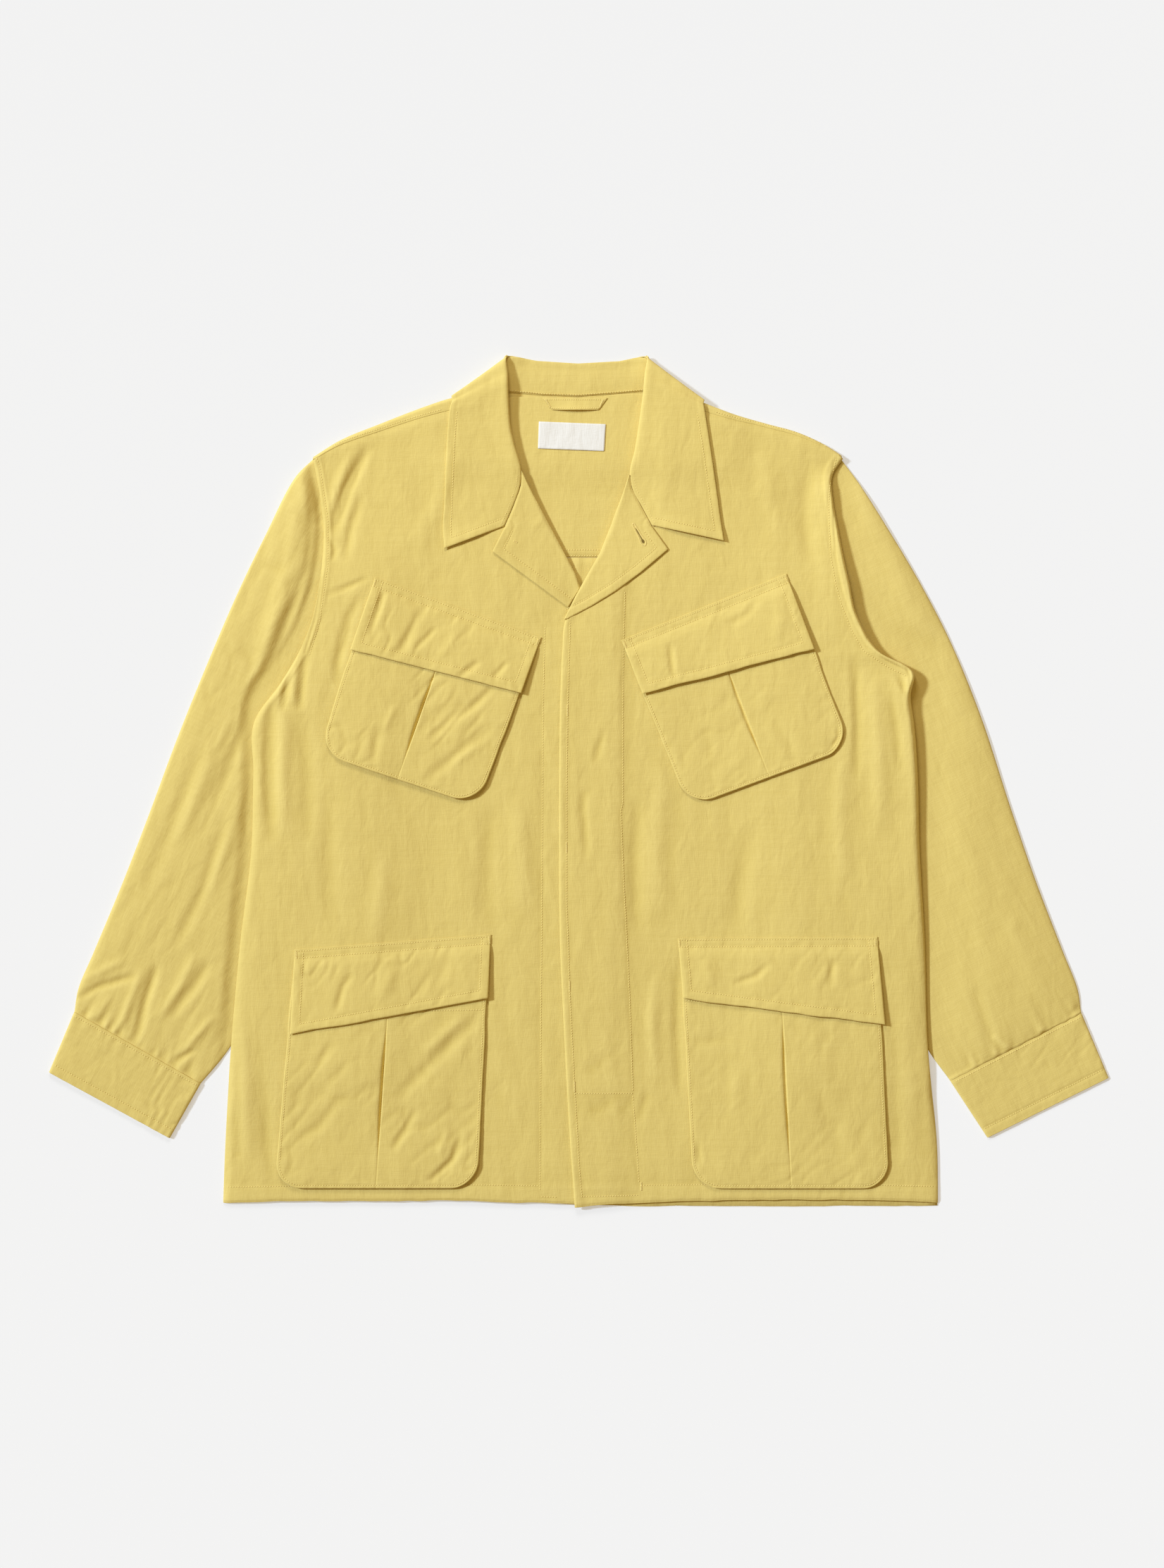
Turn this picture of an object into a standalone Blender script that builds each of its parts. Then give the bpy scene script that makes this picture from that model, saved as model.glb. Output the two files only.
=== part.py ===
"""A jungle jacket laid flat on its back, every cut piece a thin cloth wall.

Sizes are in millimetres and become metres when a mesh is made.  X runs to the viewer's right, Y to
the collar and Z up from the surface that the jacket lies on.  Pieces are named by the wearer's
sides, so the wearer's left is at +X.
"""

from collections import namedtuple

import bpy
import numpy as np

# Driving sizes
MM = 0.001              # metres in a millimetre
CENTRE = (0.35, -0.1, 0.0)  # middle of the outline, which becomes the origin
WALL = 1.0              # cloth wall
SEAM_GAP = 0.3          # between the edges of two pieces at a seam
ARMHOLE_GAP = 0.8       # the same round the armhole
LAY_GAP = 0.6           # under a piece that lies on another
FRONT_LOFT = 2.1        # how far a front stands off the back, past its edge
EDGE_LOFT = 0.8         # the same at the side seam
LOFT_REACH = 14.0       # distance from the side over which the loft grows
SLEEVE_TUCKED = 3.0     # height of a sleeve where it lies under the body
SLEEVE_LOFT = 2.2       # how much higher it stands beside the body
CUFF_HEIGHT = 5.0
EDGE_ROUND = 2.8        # radius of the folds along a flattened sleeve or cuff
YOKE_SEAM_Y = 203.0     # seam of the yoke and the back
YOKE_ROLL = 2.6         # radius of the yoke round the shoulder
FALL_ROOM = 1.8         # lift of the yoke over the collar fall below it
PLEAT_Y = -60.0         # lower end of the pleat in the back
PLEAT_X = -1.0
PLEAT_RISE = 0.8
CUFF_GATHERS = 9        # small gathers of a sleeve along its cuff seam
GATHER_RISE = 0.9
POCKET_CORNER = 25.0    # radius of a pocket's lower corners
GUSSET_WIDTH = 10.0
GUSSET_INSET = 1.5
PLEAT_DIP = 1.0         # depth of a pocket's inverted pleat
PLEAT_HALF = 2.4        # its half width

COTTON = (0.69, 0.55, 0.17)
LABEL_WHITE = (0.86, 0.83, 0.74)

# Sections of the fronts, hem to shoulder: the front edge, then the side seam and the armhole
FrontSection = namedtuple("FrontSection", "edge_x edge_y side_x side_y bow")
FRONT_RIGHT = (
    FrontSection(20.0, -384.0, -322.6, -383.0, 3.0),
    FrontSection(20.0, -338.0, -321.0, -338.0, 0.0),
    FrontSection(19.0, -240.0, -315.0, -238.0, 0.0),
    FrontSection(18.0, -148.0, -307.0, -148.0, 0.0),
    FrontSection(18.0, -58.0, -296.6, -58.6, 0.0),
    FrontSection(18.0, 7.0, -295.0, 6.7, 0.0),
    FrontSection(18.0, 60.0, -293.0, 57.0, 0.0),
    FrontSection(18.0, 88.0, -271.0, 88.0, 0.0),
    FrontSection(17.0, 118.0, -252.5, 119.0, 0.0),
    FrontSection(14.0, 150.0, -240.6, 149.0, 0.0),
    FrontSection(1.4, 177.0, -235.5, 174.0, 0.0),
    FrontSection(-13.2, 205.0, -232.3, 203.0, 0.0),
    FrontSection(-29.8, 236.0, -231.3, 229.0, 0.0),
    FrontSection(-48.5, 268.0, -234.0, 255.0, 0.0),
    FrontSection(-80.0, 303.0, -237.5, 273.0, 3.0),
    FrontSection(-99.5, 336.0, -241.0, 290.0, 0.0),
)
FRONT_LEFT = (
    FrontSection(-3.4, -386.2, 326.4, -382.4, 5.0),
    FrontSection(-7.0, -338.0, 325.8, -336.0, 0.0),
    FrontSection(-12.6, -240.0, 317.0, -241.0, 0.0),
    FrontSection(-17.0, -140.0, 314.0, -142.0, 0.0),
    FrontSection(-17.7, -58.0, 309.4, -58.6, 0.0),
    FrontSection(-17.6, 7.0, 307.8, 7.0, 0.0),
    FrontSection(-17.0, 58.0, 304.4, 54.0, 0.0),
    FrontSection(-16.4, 80.0, 301.5, 78.0, 0.0),
    FrontSection(-15.8, 100.0, 304.0, 98.0, 0.0),
    FrontSection(-14.8, 118.0, 272.0, 118.0, 0.0),
    FrontSection(-11.6, 147.5, 252.5, 150.0, 0.0),
    FrontSection(4.0, 177.0, 245.5, 180.0, 0.0),
    FrontSection(20.8, 204.0, 240.0, 206.0, 0.0),
    FrontSection(33.8, 236.0, 235.0, 232.0, 0.0),
    FrontSection(47.0, 271.0, 230.5, 258.0, 0.0),
    FrontSection(76.0, 304.0, 230.5, 277.0, 2.0),
    FrontSection(98.5, 337.0, 236.0, 291.0, 0.0),
)
SLEEVE_TUCK_RIGHT = 152.0   # height at which a sleeve leaves the armhole and goes under the body
SLEEVE_TUCK_LEFT = 166.0

# Sections of the sleeves, armhole to cuff seam, from the outer fold to the fold under the body
SleeveSection = namedtuple("SleeveSection", "outer_x outer_y inner_x inner_y")
SLEEVE_RIGHT = (
    SleeveSection(-243.4, 291.5, -222.0, 60.0),
    SleeveSection(-258.0, 275.5, -229.0, 25.0),
    SleeveSection(-284.8, 223.0, -237.0, -15.0),
    SleeveSection(-309.0, 171.8, -246.0, -60.0),
    SleeveSection(-336.0, 109.0, -255.0, -102.0),
    SleeveSection(-365.0, 37.0, -264.0, -138.0),
    SleeveSection(-391.0, -33.0, -275.0, -170.0),
    SleeveSection(-415.0, -95.0, -288.0, -198.0),
    SleeveSection(-440.0, -155.0, -303.5, -222.0),
    SleeveSection(-454.5, -190.0, -325.0, -253.5),
    SleeveSection(-457.6, -209.0, -342.8, -274.2),
)
SLEEVE_LEFT = (
    SleeveSection(243.4, 291.5, 224.0, 60.0),
    SleeveSection(257.3, 270.4, 231.0, 22.0),
    SleeveSection(286.0, 223.0, 239.0, -18.0),
    SleeveSection(314.9, 171.8, 248.0, -60.0),
    SleeveSection(340.5, 120.6, 257.0, -102.0),
    SleeveSection(366.0, 57.0, 266.0, -138.0),
    SleeveSection(392.0, -23.0, 276.0, -170.0),
    SleeveSection(415.0, -90.0, 288.0, -197.0),
    SleeveSection(440.0, -155.0, 303.0, -219.0),
    SleeveSection(453.5, -190.0, 321.0, -249.5),
    SleeveSection(456.4, -209.8, 337.0, -271.2),
)
CUFF_RIGHT = (
    SleeveSection(-457.8, -209.4, -343.0, -274.6),
    SleeveSection(-480.6, -264.0, -370.9, -323.9),
)
CUFF_LEFT = (
    SleeveSection(456.6, -210.2, 337.2, -271.6),
    SleeveSection(481.3, -269.1, 371.2, -323.5),
)

# Line of the shoulders, where the yoke turns from the back to the front
ShoulderPoint = namedtuple("ShoulderPoint", "x y")
SHOULDER = (
    ShoulderPoint(-243.0, 292.5),
    ShoulderPoint(-218.0, 308.3),
    ShoulderPoint(-181.0, 323.6),
    ShoulderPoint(-139.0, 339.0),
    ShoulderPoint(-117.0, 345.0),
    ShoulderPoint(-92.0, 351.0),
    ShoulderPoint(0.0, 362.0),
    ShoulderPoint(92.0, 351.0),
    ShoulderPoint(113.0, 342.0),
    ShoulderPoint(143.0, 331.4),
    ShoulderPoint(171.0, 323.6),
    ShoulderPoint(199.0, 316.0),
    ShoulderPoint(231.0, 300.6),
    ShoulderPoint(242.0, 293.0),
)

# Top edge of the yoke: share of the half width, and its width in front of the shoulder line, which
# is negative round the neck, where the yoke ends before that line
YokeEdge = namedtuple("YokeEdge", "share forward")
YOKE_TOP = (
    YokeEdge(-1.0, 2.6),
    YokeEdge(-0.85, 5.5),
    YokeEdge(-0.62, 8.8),
    YokeEdge(-0.5, 11.0),
    YokeEdge(-0.41, 11.0),
    YokeEdge(-0.36, 2.6),
    YokeEdge(-0.32, -1.0),
    YokeEdge(-0.265, -4.2),
    YokeEdge(-0.13, -8.4),
    YokeEdge(0.0, -13.5),
    YokeEdge(0.13, -7.6),
    YokeEdge(0.265, -3.2),
    YokeEdge(0.32, -1.0),
    YokeEdge(0.36, 2.6),
    YokeEdge(0.41, 8.0),
    YokeEdge(0.5, 7.5),
    YokeEdge(0.66, 4.0),
    YokeEdge(1.0, 2.6),
)

# Collar fall, front end to front end: roll, outer edge, and 1 on the fronts to 0 under the yoke
FallSection = namedtuple("FallSection", "roll_x roll_y edge_x edge_y top")
FALL = (
    FallSection(-67.2, 231.4, -121.6, 210.9, 1.0),
    FallSection(-60.0, 248.0, -122.9, 229.4, 1.0),
    FallSection(-53.0, 268.0, -121.8, 250.0, 1.0),
    FallSection(-51.8, 281.0, -121.0, 268.0, 1.0),
    FallSection(-58.2, 306.2, -119.7, 299.8, 1.0),
    FallSection(-62.0, 325.4, -118.0, 325.4, 1.0),
    FallSection(-63.4, 350.0, -116.5, 338.5, 1.0),
    FallSection(-64.0, 370.0, -116.8, 345.5, 0.92),
    FallSection(-64.6, 385.6, -120.0, 348.4, 0.5),
    FallSection(-62.6, 386.0, -117.4, 346.4, 0.12),
    FallSection(-56.0, 385.2, -108.0, 335.0, 0.0),
    FallSection(-39.0, 381.8, -60.0, 312.0, 0.0),
    FallSection(-0.6, 379.2, -0.6, 306.0, 0.0),
    FallSection(37.8, 381.4, 58.0, 312.0, 0.0),
    FallSection(53.0, 384.6, 105.0, 334.0, 0.0),
    FallSection(59.4, 385.6, 115.0, 345.0, 0.12),
    FallSection(61.4, 385.2, 117.5, 347.0, 0.5),
    FallSection(60.0, 370.0, 114.0, 344.0, 0.92),
    FallSection(58.2, 351.0, 114.2, 336.5, 1.0),
    FallSection(55.7, 331.8, 116.0, 325.4, 1.0),
    FallSection(51.0, 301.0, 119.8, 301.0, 1.0),
    FallSection(46.5, 278.0, 123.5, 276.0, 1.0),
    FallSection(49.0, 265.0, 125.5, 262.0, 1.0),
    FallSection(57.0, 249.9, 128.5, 240.0, 1.0),
    FallSection(66.6, 232.0, 131.8, 217.9, 1.0),
)

# Collar stand between the neck seam and the roll
StandSection = namedtuple("StandSection", "neck_x neck_y roll_x roll_y top")
STAND = (
    StandSection(-63.0, 289.0, -57.0, 289.5, 1.0),
    StandSection(-77.5, 306.2, -62.0, 306.2, 1.0),
    StandSection(-86.0, 322.0, -66.0, 325.4, 1.0),
    StandSection(-88.5, 337.5, -67.4, 346.0, 1.0),
    StandSection(-78.5, 345.5, -66.0, 358.0, 1.0),
    StandSection(-75.3, 354.4, -68.3, 368.9, 0.88),
    StandSection(-76.5, 355.0, -69.5, 369.5, 0.5),
    StandSection(-75.3, 354.4, -68.3, 368.9, 0.12),
    StandSection(-71.1, 352.8, -64.1, 366.9, 0.0),
    StandSection(-64.0, 353.0, -58.5, 376.0, 0.0),
    StandSection(-56.0, 352.4, -54.0, 380.3, 0.0),
    StandSection(-32.6, 350.3, -36.0, 378.0, 0.0),
    StandSection(-0.6, 349.2, -0.6, 375.8, 0.0),
    StandSection(31.4, 351.6, 35.0, 377.6, 0.0),
    StandSection(54.5, 353.6, 51.0, 380.0, 0.0),
    StandSection(62.0, 353.8, 56.0, 375.5, 0.0),
    StandSection(69.4, 353.0, 60.4, 366.3, 0.0),
    StandSection(73.4, 354.3, 64.4, 368.8, 0.12),
    StandSection(74.5, 355.0, 65.5, 369.5, 0.5),
    StandSection(73.4, 354.3, 64.4, 368.8, 0.88),
    StandSection(76.5, 345.5, 62.6, 357.0, 1.0),
    StandSection(86.5, 338.0, 62.8, 347.0, 1.0),
    StandSection(82.5, 323.0, 60.0, 331.8, 1.0),
    StandSection(72.5, 306.6, 55.5, 306.0, 1.0),
    StandSection(56.5, 288.5, 51.5, 288.5, 1.0),
)

# Lapels, gorge to the end of the roll: the roll line, then the outer edge
LapelSection = namedtuple("LapelSection", "roll_x roll_y edge_x edge_y")
LAPEL_RIGHT = (
    LapelSection(-48.6, 273.5, -50.4, 269.5),
    LapelSection(-42.6, 262.0, -57.9, 248.4),
    LapelSection(-37.2, 252.0, -65.4, 230.4),
    LapelSection(-31.0, 240.0, -78.0, 208.3),
    LapelSection(-21.3, 222.0, -58.2, 193.6),
    LapelSection(-11.7, 204.0, -39.0, 179.5),
    LapelSection(-2.7, 187.0, -22.0, 167.0),
    LapelSection(1.0, 175.0, -9.5, 157.8),
)
LAPEL_LEFT = (
    LapelSection(43.4, 268.5, 46.6, 263.5),
    LapelSection(39.5, 257.0, 55.0, 248.6),
    LapelSection(35.0, 246.0, 64.8, 231.0),
    LapelSection(30.0, 232.0, 81.3, 210.2),
    LapelSection(20.0, 207.0, 57.0, 189.7),
    LapelSection(8.0, 186.0, 34.0, 172.5),
    LapelSection(-2.5, 167.0, 12.2, 159.0),
    LapelSection(-11.2, 150.5, -4.0, 152.2),
)

# Pockets: corners of each flap and of each bag, whose mouth is under the flap
Corner = namedtuple("Corner", "x y")
Pocket = namedtuple("Pocket", "flap_tl flap_tr flap_br flap_bl mouth_l mouth_r base_r base_l")
POCKETS = {
    "chest_right": Pocket(
        Corner(-184.3, 184.6), Corner(-33.9, 130.2), Corner(-51.8, 80.3), Corner(-206.7, 119.4),
        Corner(-190.5, 166.5), Corner(-40.0, 113.3), Corner(-92.1, -22.2), Corner(-235.6, 25.3)),
    "chest_left": Pocket(
        Corner(39.0, 127.7), Corner(188.2, 187.8), Corner(213.8, 120.0), Corner(58.2, 79.0),
        Corner(45.6, 111.0), Corner(194.6, 171.0), Corner(246.6, 30.8), Corner(99.4, -23.8)),
    "hip_right": Pocket(
        Corner(-257.3, -152.6), Corner(-79.4, -139.2), Corner(-81.9, -196.2), Corner(-261.0, -229.4),
        Corner(-260.0, -171.0), Corner(-81.0, -158.0), Corner(-91.6, -369.0), Corner(-275.7, -369.0)),
    "hip_left": Pocket(
        Corner(90.2, -142.4), Corner(270.7, -141.1), Corner(277.8, -220.5), Corner(94.7, -196.8),
        Corner(92.5, -160.0), Corner(274.0, -159.0), Corner(282.0, -369.3), Corner(104.0, -369.3)),
}

# Large folds of the fronts and the sleeves: centre, direction, length, half width, rise
Fold = namedtuple("Fold", "x y angle length width rise")
FRONT_FOLDS = (
    Fold(-281.0, -10.0, 90.0, 110.0, 9.0, -1.2),
    Fold(-263.0, 20.0, 96.0, 130.0, 14.0, 0.8),
    Fold(-249.0, 60.0, 97.0, 110.0, 9.0, -0.9),
    Fold(-268.0, 84.0, 82.0, 46.0, 8.0, -0.8),
    Fold(-214.0, 235.0, 68.0, 120.0, 10.0, -1.0),
    Fold(-55.0, -70.0, 92.0, 150.0, 18.0, 0.8),
    Fold(272.0, 25.0, 88.0, 150.0, 15.0, 0.9),
    Fold(252.0, 60.0, 90.0, 110.0, 10.0, -0.8),
    Fold(70.0, -80.0, 88.0, 120.0, 20.0, 0.8),
    Fold(40.0, -292.0, 25.0, 60.0, 9.0, 0.7),
    Fold(300.0, -300.0, 92.0, 130.0, 14.0, 0.6),
    Fold(-298.0, -290.0, 88.0, 140.0, 12.0, 0.6),
)
SLEEVE_FOLDS = (
    Fold(-262.0, 222.0, 62.0, 130.0, 11.0, -1.6),
    Fold(-300.0, 150.0, 64.0, 180.0, 12.0, 0.9),
    Fold(-330.0, 40.0, 66.0, 190.0, 10.0, -1.2),
    Fold(-375.0, -60.0, 62.0, 170.0, 12.0, 0.9),
    Fold(-405.0, -165.0, 55.0, 130.0, 9.0, -1.3),
    Fold(-430.0, -196.0, 28.0, 90.0, 9.0, -1.2),
    Fold(-352.0, -222.0, 45.0, 90.0, 10.0, -1.0),
    Fold(300.0, 190.0, 117.0, 120.0, 12.0, 0.7),
    Fold(352.0, -60.0, 112.0, 200.0, 14.0, -0.8),
    Fold(400.0, -170.0, 118.0, 140.0, 14.0, 0.8),
)


def smooth(value, start, end):
    """Ease from 0 at start to 1 at end."""
    part = np.clip((value - start) / (end - start), 0.0, 1.0)
    return part * part * (3.0 - 2.0 * part)


def through_rows(rows, places):
    """Smooth curve through the rows of a table, read at places between row 0 and its last row."""
    table = np.array(rows, dtype=float)
    steps = np.linalg.norm(np.diff(table[:, :4], axis=0), axis=1)
    reach = np.concatenate(([0.0], np.cumsum(steps)))
    slope = np.gradient(table, reach, axis=0)
    row = np.clip(np.floor(places).astype(int), 0, len(table) - 2)
    span = (reach[row + 1] - reach[row])[:, None]
    part = (places - row)[:, None]
    rest = 1.0 - part
    return (table[row] * (1.0 + 2.0 * part) * rest ** 2 + slope[row] * span * part * rest ** 2
            + table[row + 1] * (1.0 + 2.0 * rest) * part ** 2 - slope[row + 1] * span * rest * part ** 2)


def spread_rows(rows, count):
    """Evenly spread places along the rows of a table."""
    return np.linspace(0.0, len(rows) - 1.0, count)


def straight_rows(rows, between):
    """The rows of a table with straight steps put between them."""
    table = np.array(rows, dtype=float)
    at = np.linspace(0.0, len(table) - 1.0, (len(table) - 1) * between + 1)
    own = np.arange(len(table))
    return np.stack([np.interp(at, own, column) for column in table.T], axis=1)


def fold_rise(folds, x, y):
    """Sum of soft ridges and troughs."""
    total = np.zeros(np.broadcast(x, y).shape)
    for fold in folds:
        turn = np.radians(fold.angle)
        along = (x - fold.x) * np.cos(turn) + (y - fold.y) * np.sin(turn)
        across = (y - fold.y) * np.cos(turn) - (x - fold.x) * np.sin(turn)
        ends = np.exp(-(2.0 * along / fold.length) ** 4)
        total = total + fold.rise * ends * np.exp(-(across / fold.width) ** 2)
    return total


SIDE_RIGHT = through_rows(FRONT_RIGHT, spread_rows(FRONT_RIGHT, 160))[:, 2:4]
SIDE_LEFT = through_rows(FRONT_LEFT, spread_rows(FRONT_LEFT, 160))[:, 2:4]


def body_half_width(x, y):
    """Distance from the centre to the side seam or armhole at a height, on the side of x."""
    at_right = np.interp(y, SIDE_RIGHT[:, 1], -SIDE_RIGHT[:, 0])
    at_left = np.interp(y, SIDE_LEFT[:, 1], SIDE_LEFT[:, 0])
    return np.where(x < 0.0, at_right, at_left)


def tuck_lift(x, y, spread=0.0):
    """Lift of the body's sides over the sleeves that lie below them, eased in sooner by a spread."""
    beside = smooth(np.abs(x), 170.0 - spread, 204.0)
    below_arm = 1.0 - smooth(y, 172.0, 208.0 + spread)
    above_wrist = smooth(y, -290.0 - spread, -256.0)
    return (SLEEVE_TUCKED + SEAM_GAP + 0.1) * beside * below_arm * above_wrist


def yoke_lift(x, y):
    """Lift of the yoke, and of the fronts on it, over the collar fall at the back."""
    return FALL_ROOM * smooth(y, 262.0, 294.0) * (1.0 - smooth(np.abs(x), 130.0, 165.0))


def front_top(x, y):
    """Upper face of the fronts, which the pockets, lapels and collar lie on."""
    inside = np.maximum(body_half_width(x, y) - np.abs(x), 0.0)
    grown = 1.0 - np.exp(-inside / LOFT_REACH)
    at_hem = 0.5 + 0.5 * smooth(y, -384.0, -345.0)
    loft = EDGE_LOFT + FRONT_LOFT * grown * at_hem
    loft = np.maximum(loft + fold_rise(FRONT_FOLDS, x, y) * grown, 0.5)
    open_armhole = smooth(x, 200.0, 225.0) * smooth(y, 95.0, 120.0) * (1.0 - smooth(y, 262.0, 290.0))
    loft = loft + 1.5 * open_armhole * np.exp(-inside / 25.0)
    return tuck_lift(x, y, 45.0) + yoke_lift(x, y) + 2.0 * WALL + SEAM_GAP + loft


def left_front_top(x, y):
    """Upper face of the left front, lifted where it lies on the right one."""
    over_front = (1.0 - smooth(x, 26.0, 50.0)) * (1.0 - smooth(y, 172.0, 215.0))
    return front_top(x, y) + (WALL + LAY_GAP) * over_front


def fronts_top(x, y):
    """Upper face of whichever front is below a place."""
    return np.where(x > 0.0, left_front_top(x, y), front_top(x, y))


def yoke_top(x, y):
    """Upper face of the back part of the yoke."""
    return yoke_lift(x, y) + WALL


def paint(name, colour, roughness):
    """One plain cloth finish."""
    material = bpy.data.materials.new(name)
    material.use_nodes = True
    shader = material.node_tree.nodes["Principled BSDF"]
    shader.inputs["Base Color"].default_value = (*colour, 1.0)
    shader.inputs["Roughness"].default_value = roughness
    shader.inputs["Metallic"].default_value = 0.0
    return material


def grid_faces(rows, columns, closed, flip):
    """Quads between the rows and columns of a grid, joined round when it is closed."""
    faces = []
    for row in range(rows - 1):
        for column in range(columns if closed else columns - 1):
            after = (column + 1) % columns
            quad = (row * columns + column, row * columns + after,
                    (row + 1) * columns + after, (row + 1) * columns + column)
            faces.append(quad[::-1] if flip else quad)
    return faces


def cloth(name, points, material, thickness=WALL, closed=False, flip=False):
    """A cloth wall: the grid is its outer face, and the wall goes inwards from it."""
    rows, columns = points.shape[:2]
    mesh = bpy.data.meshes.new(name)
    places = (points.reshape(-1, 3) - np.array(CENTRE)) * MM
    mesh.from_pydata(places.tolist(), [], grid_faces(rows, columns, closed, flip))
    mesh.shade_smooth()
    piece = bpy.data.objects.new(name, mesh)
    JACKET.objects.link(piece)
    piece.data.materials.append(material)
    wall = piece.modifiers.new("wall", "SOLIDIFY")
    wall.thickness = thickness * MM
    wall.offset = -1.0
    return piece


def with_height(xy, z):
    """Grid of points from a grid of places and their heights."""
    return np.concatenate((xy, np.broadcast_to(z, xy.shape[:2])[..., None]), axis=2)


def ruled(sections, shares):
    """Places on straight lines between the two ends of each section."""
    share = np.broadcast_to(shares, (len(sections), shares.shape[-1]))[..., None]
    return sections[:, None, 0:2] * (1.0 - share) + sections[:, None, 2:4] * share


def across_panel(count, folds_at_end):
    """Shares across a panel, closer together at the far side for the rounded edge there."""
    return np.concatenate((np.linspace(0.0, 0.94, count), folds_at_end))


def make_front(name, table, top, material):
    """A front from its sections."""
    places = np.concatenate((np.linspace(0.0, 6.0, 14), np.linspace(6.0, len(table) - 1.0, 14)[1:]))
    sections = through_rows(table, places)
    shares = across_panel(14, (0.97, 0.988, 1.0))
    xy = ruled(sections, shares)
    xy[..., 1] += sections[:, 4:5] * 4.0 * shares * (1.0 - shares)
    xy[-1, :, 1] = shoulder_seam(xy[-1, :, 0]) - ARMHOLE_GAP
    side = 1.0 if xy[0, -1, 0] > 0.0 else -1.0
    cloth(name, with_height(xy, top(xy[..., 0], xy[..., 1])), material, flip=side < 0.0)


def make_back(material):
    """The back on the floor, lifted over the sleeves, with its centre pleat."""
    heights = np.concatenate((np.linspace(-384.5, -220.0, 6), np.linspace(-170.0, 90.0, 6),
                              np.linspace(104.0, YOKE_SEAM_Y - SEAM_GAP, 8)))
    sides = np.stack((-body_half_width(-1.0, heights), heights,
                      body_half_width(1.0, heights), heights), axis=1)
    pleat = 0.497 + np.array((-0.012, -0.005, 0.0, 0.005, 0.012))
    shares = np.concatenate((np.linspace(0.0, 0.2, 5), (0.35,), pleat, (0.65,),
                             np.linspace(0.8, 1.0, 5)))
    xy = ruled(sides, shares)
    below = 1.0 - smooth(heights, -384.5, -383.0)
    xy[..., 1] -= (below * 1.2)[:, None] * shares
    rise = PLEAT_RISE * np.exp(-((xy[..., 0] - PLEAT_X) / 3.0) ** 2) * smooth(xy[..., 1], PLEAT_Y, 60.0)
    cloth("back", with_height(xy, tuck_lift(xy[..., 0], xy[..., 1]) + rise), material, flip=True)


SHOULDER_CURVE = through_rows(SHOULDER, spread_rows(SHOULDER, 120))


def shoulder_line(x):
    """Line where the yoke turns over the shoulder."""
    return np.interp(x, SHOULDER_CURVE[:, 0], SHOULDER_CURVE[:, 1])


def yoke_half_width(side):
    """Half width of the yoke at the shoulder, on one side."""
    return body_half_width(side, 290.0) - 0.2


def shoulder_seam(x):
    """Seam of the yoke and a front, in front of the shoulder line."""
    edge = np.array(YOKE_TOP)
    forward = np.interp(x / yoke_half_width(x), edge[:, 0], edge[:, 1])
    return shoulder_line(x) - forward


def make_yoke(material):
    """The yoke: flat at the back, round the shoulder line and forward to the front seam."""
    edge = np.array(YOKE_TOP)
    share = np.concatenate((np.linspace(-1.0, -0.5, 8), np.linspace(-0.44, -0.29, 6),
                            np.linspace(-0.2, 0.2, 5), np.linspace(0.29, 0.44, 6),
                            np.linspace(0.5, 1.0, 8)))
    forward = np.interp(share, edge[:, 0], edge[:, 1])
    turned_over = smooth(forward, 0.0, YOKE_ROLL) * np.pi * YOKE_ROLL
    past = np.where(forward > 0.0, turned_over + np.maximum(forward - YOKE_ROLL, 0.0), forward)
    line = shoulder_line(share * yoke_half_width(share))
    start = YOKE_SEAM_Y + SEAM_GAP - (line - YOKE_ROLL)
    middle = np.minimum(past - 12.0, -3.0)
    rows = np.concatenate((np.linspace(0.0, 1.0, 7)[:, None] * (middle - start) + start,
                           np.linspace(0.0, 1.0, 8)[1:, None] * (past - middle) + middle))
    turn = np.clip(rows / YOKE_ROLL, 0.0, np.pi)
    back_again = np.maximum(rows - np.pi * YOKE_ROLL, 0.0)
    y = line - YOKE_ROLL + np.minimum(rows, 0.0) + YOKE_ROLL * np.sin(turn) - back_again
    half = body_half_width(share * np.ones_like(y), np.minimum(y, 290.0)) - 0.2
    x = share * half
    z = yoke_lift(x, y) + YOKE_ROLL * (1.0 - np.cos(turn))
    cloth("yoke", np.stack((x, y, z), axis=2), material, flip=True)


def ring_shares(sections, top_count, bottom_count):
    """Once round a flattened tube: share across each section, and height as a share of the full height."""
    width = np.linalg.norm(sections[:, 2:4] - sections[:, 0:2], axis=1)[:, None]
    round_end = EDGE_ROUND / width
    over = round_end + (1.0 - 2.0 * round_end) * np.linspace(0.0, 1.0, top_count)
    under = round_end + (1.0 - 2.0 * round_end) * np.linspace(1.0, 0.0, bottom_count)
    corner = np.array((0.3, 0.0, 0.3)) * round_end
    share = np.concatenate((over, 1.0 - corner, under, corner), axis=1)
    turn = np.array((0.85, 0.5, 0.15))
    return share, np.concatenate((np.ones(top_count), turn, np.zeros(bottom_count), turn[::-1]))


def armhole_curve(edge, tuck, end, shares):
    """Head of a sleeve: the armhole moved out by its gap, then straight down under the body."""
    head = edge[edge[:, 1] > tuck][::-1] + np.array((np.sign(edge[0, 0]) * 0.95, 0.2)) * ARMHOLE_GAP
    path = np.concatenate((head, [end]))
    run = np.concatenate(([0.0], np.cumsum(np.linalg.norm(np.diff(path, axis=0), axis=1))))
    return np.stack([np.interp(shares * run[-1], run, path[:, axis]) for axis in (0, 1)], axis=1)


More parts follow.
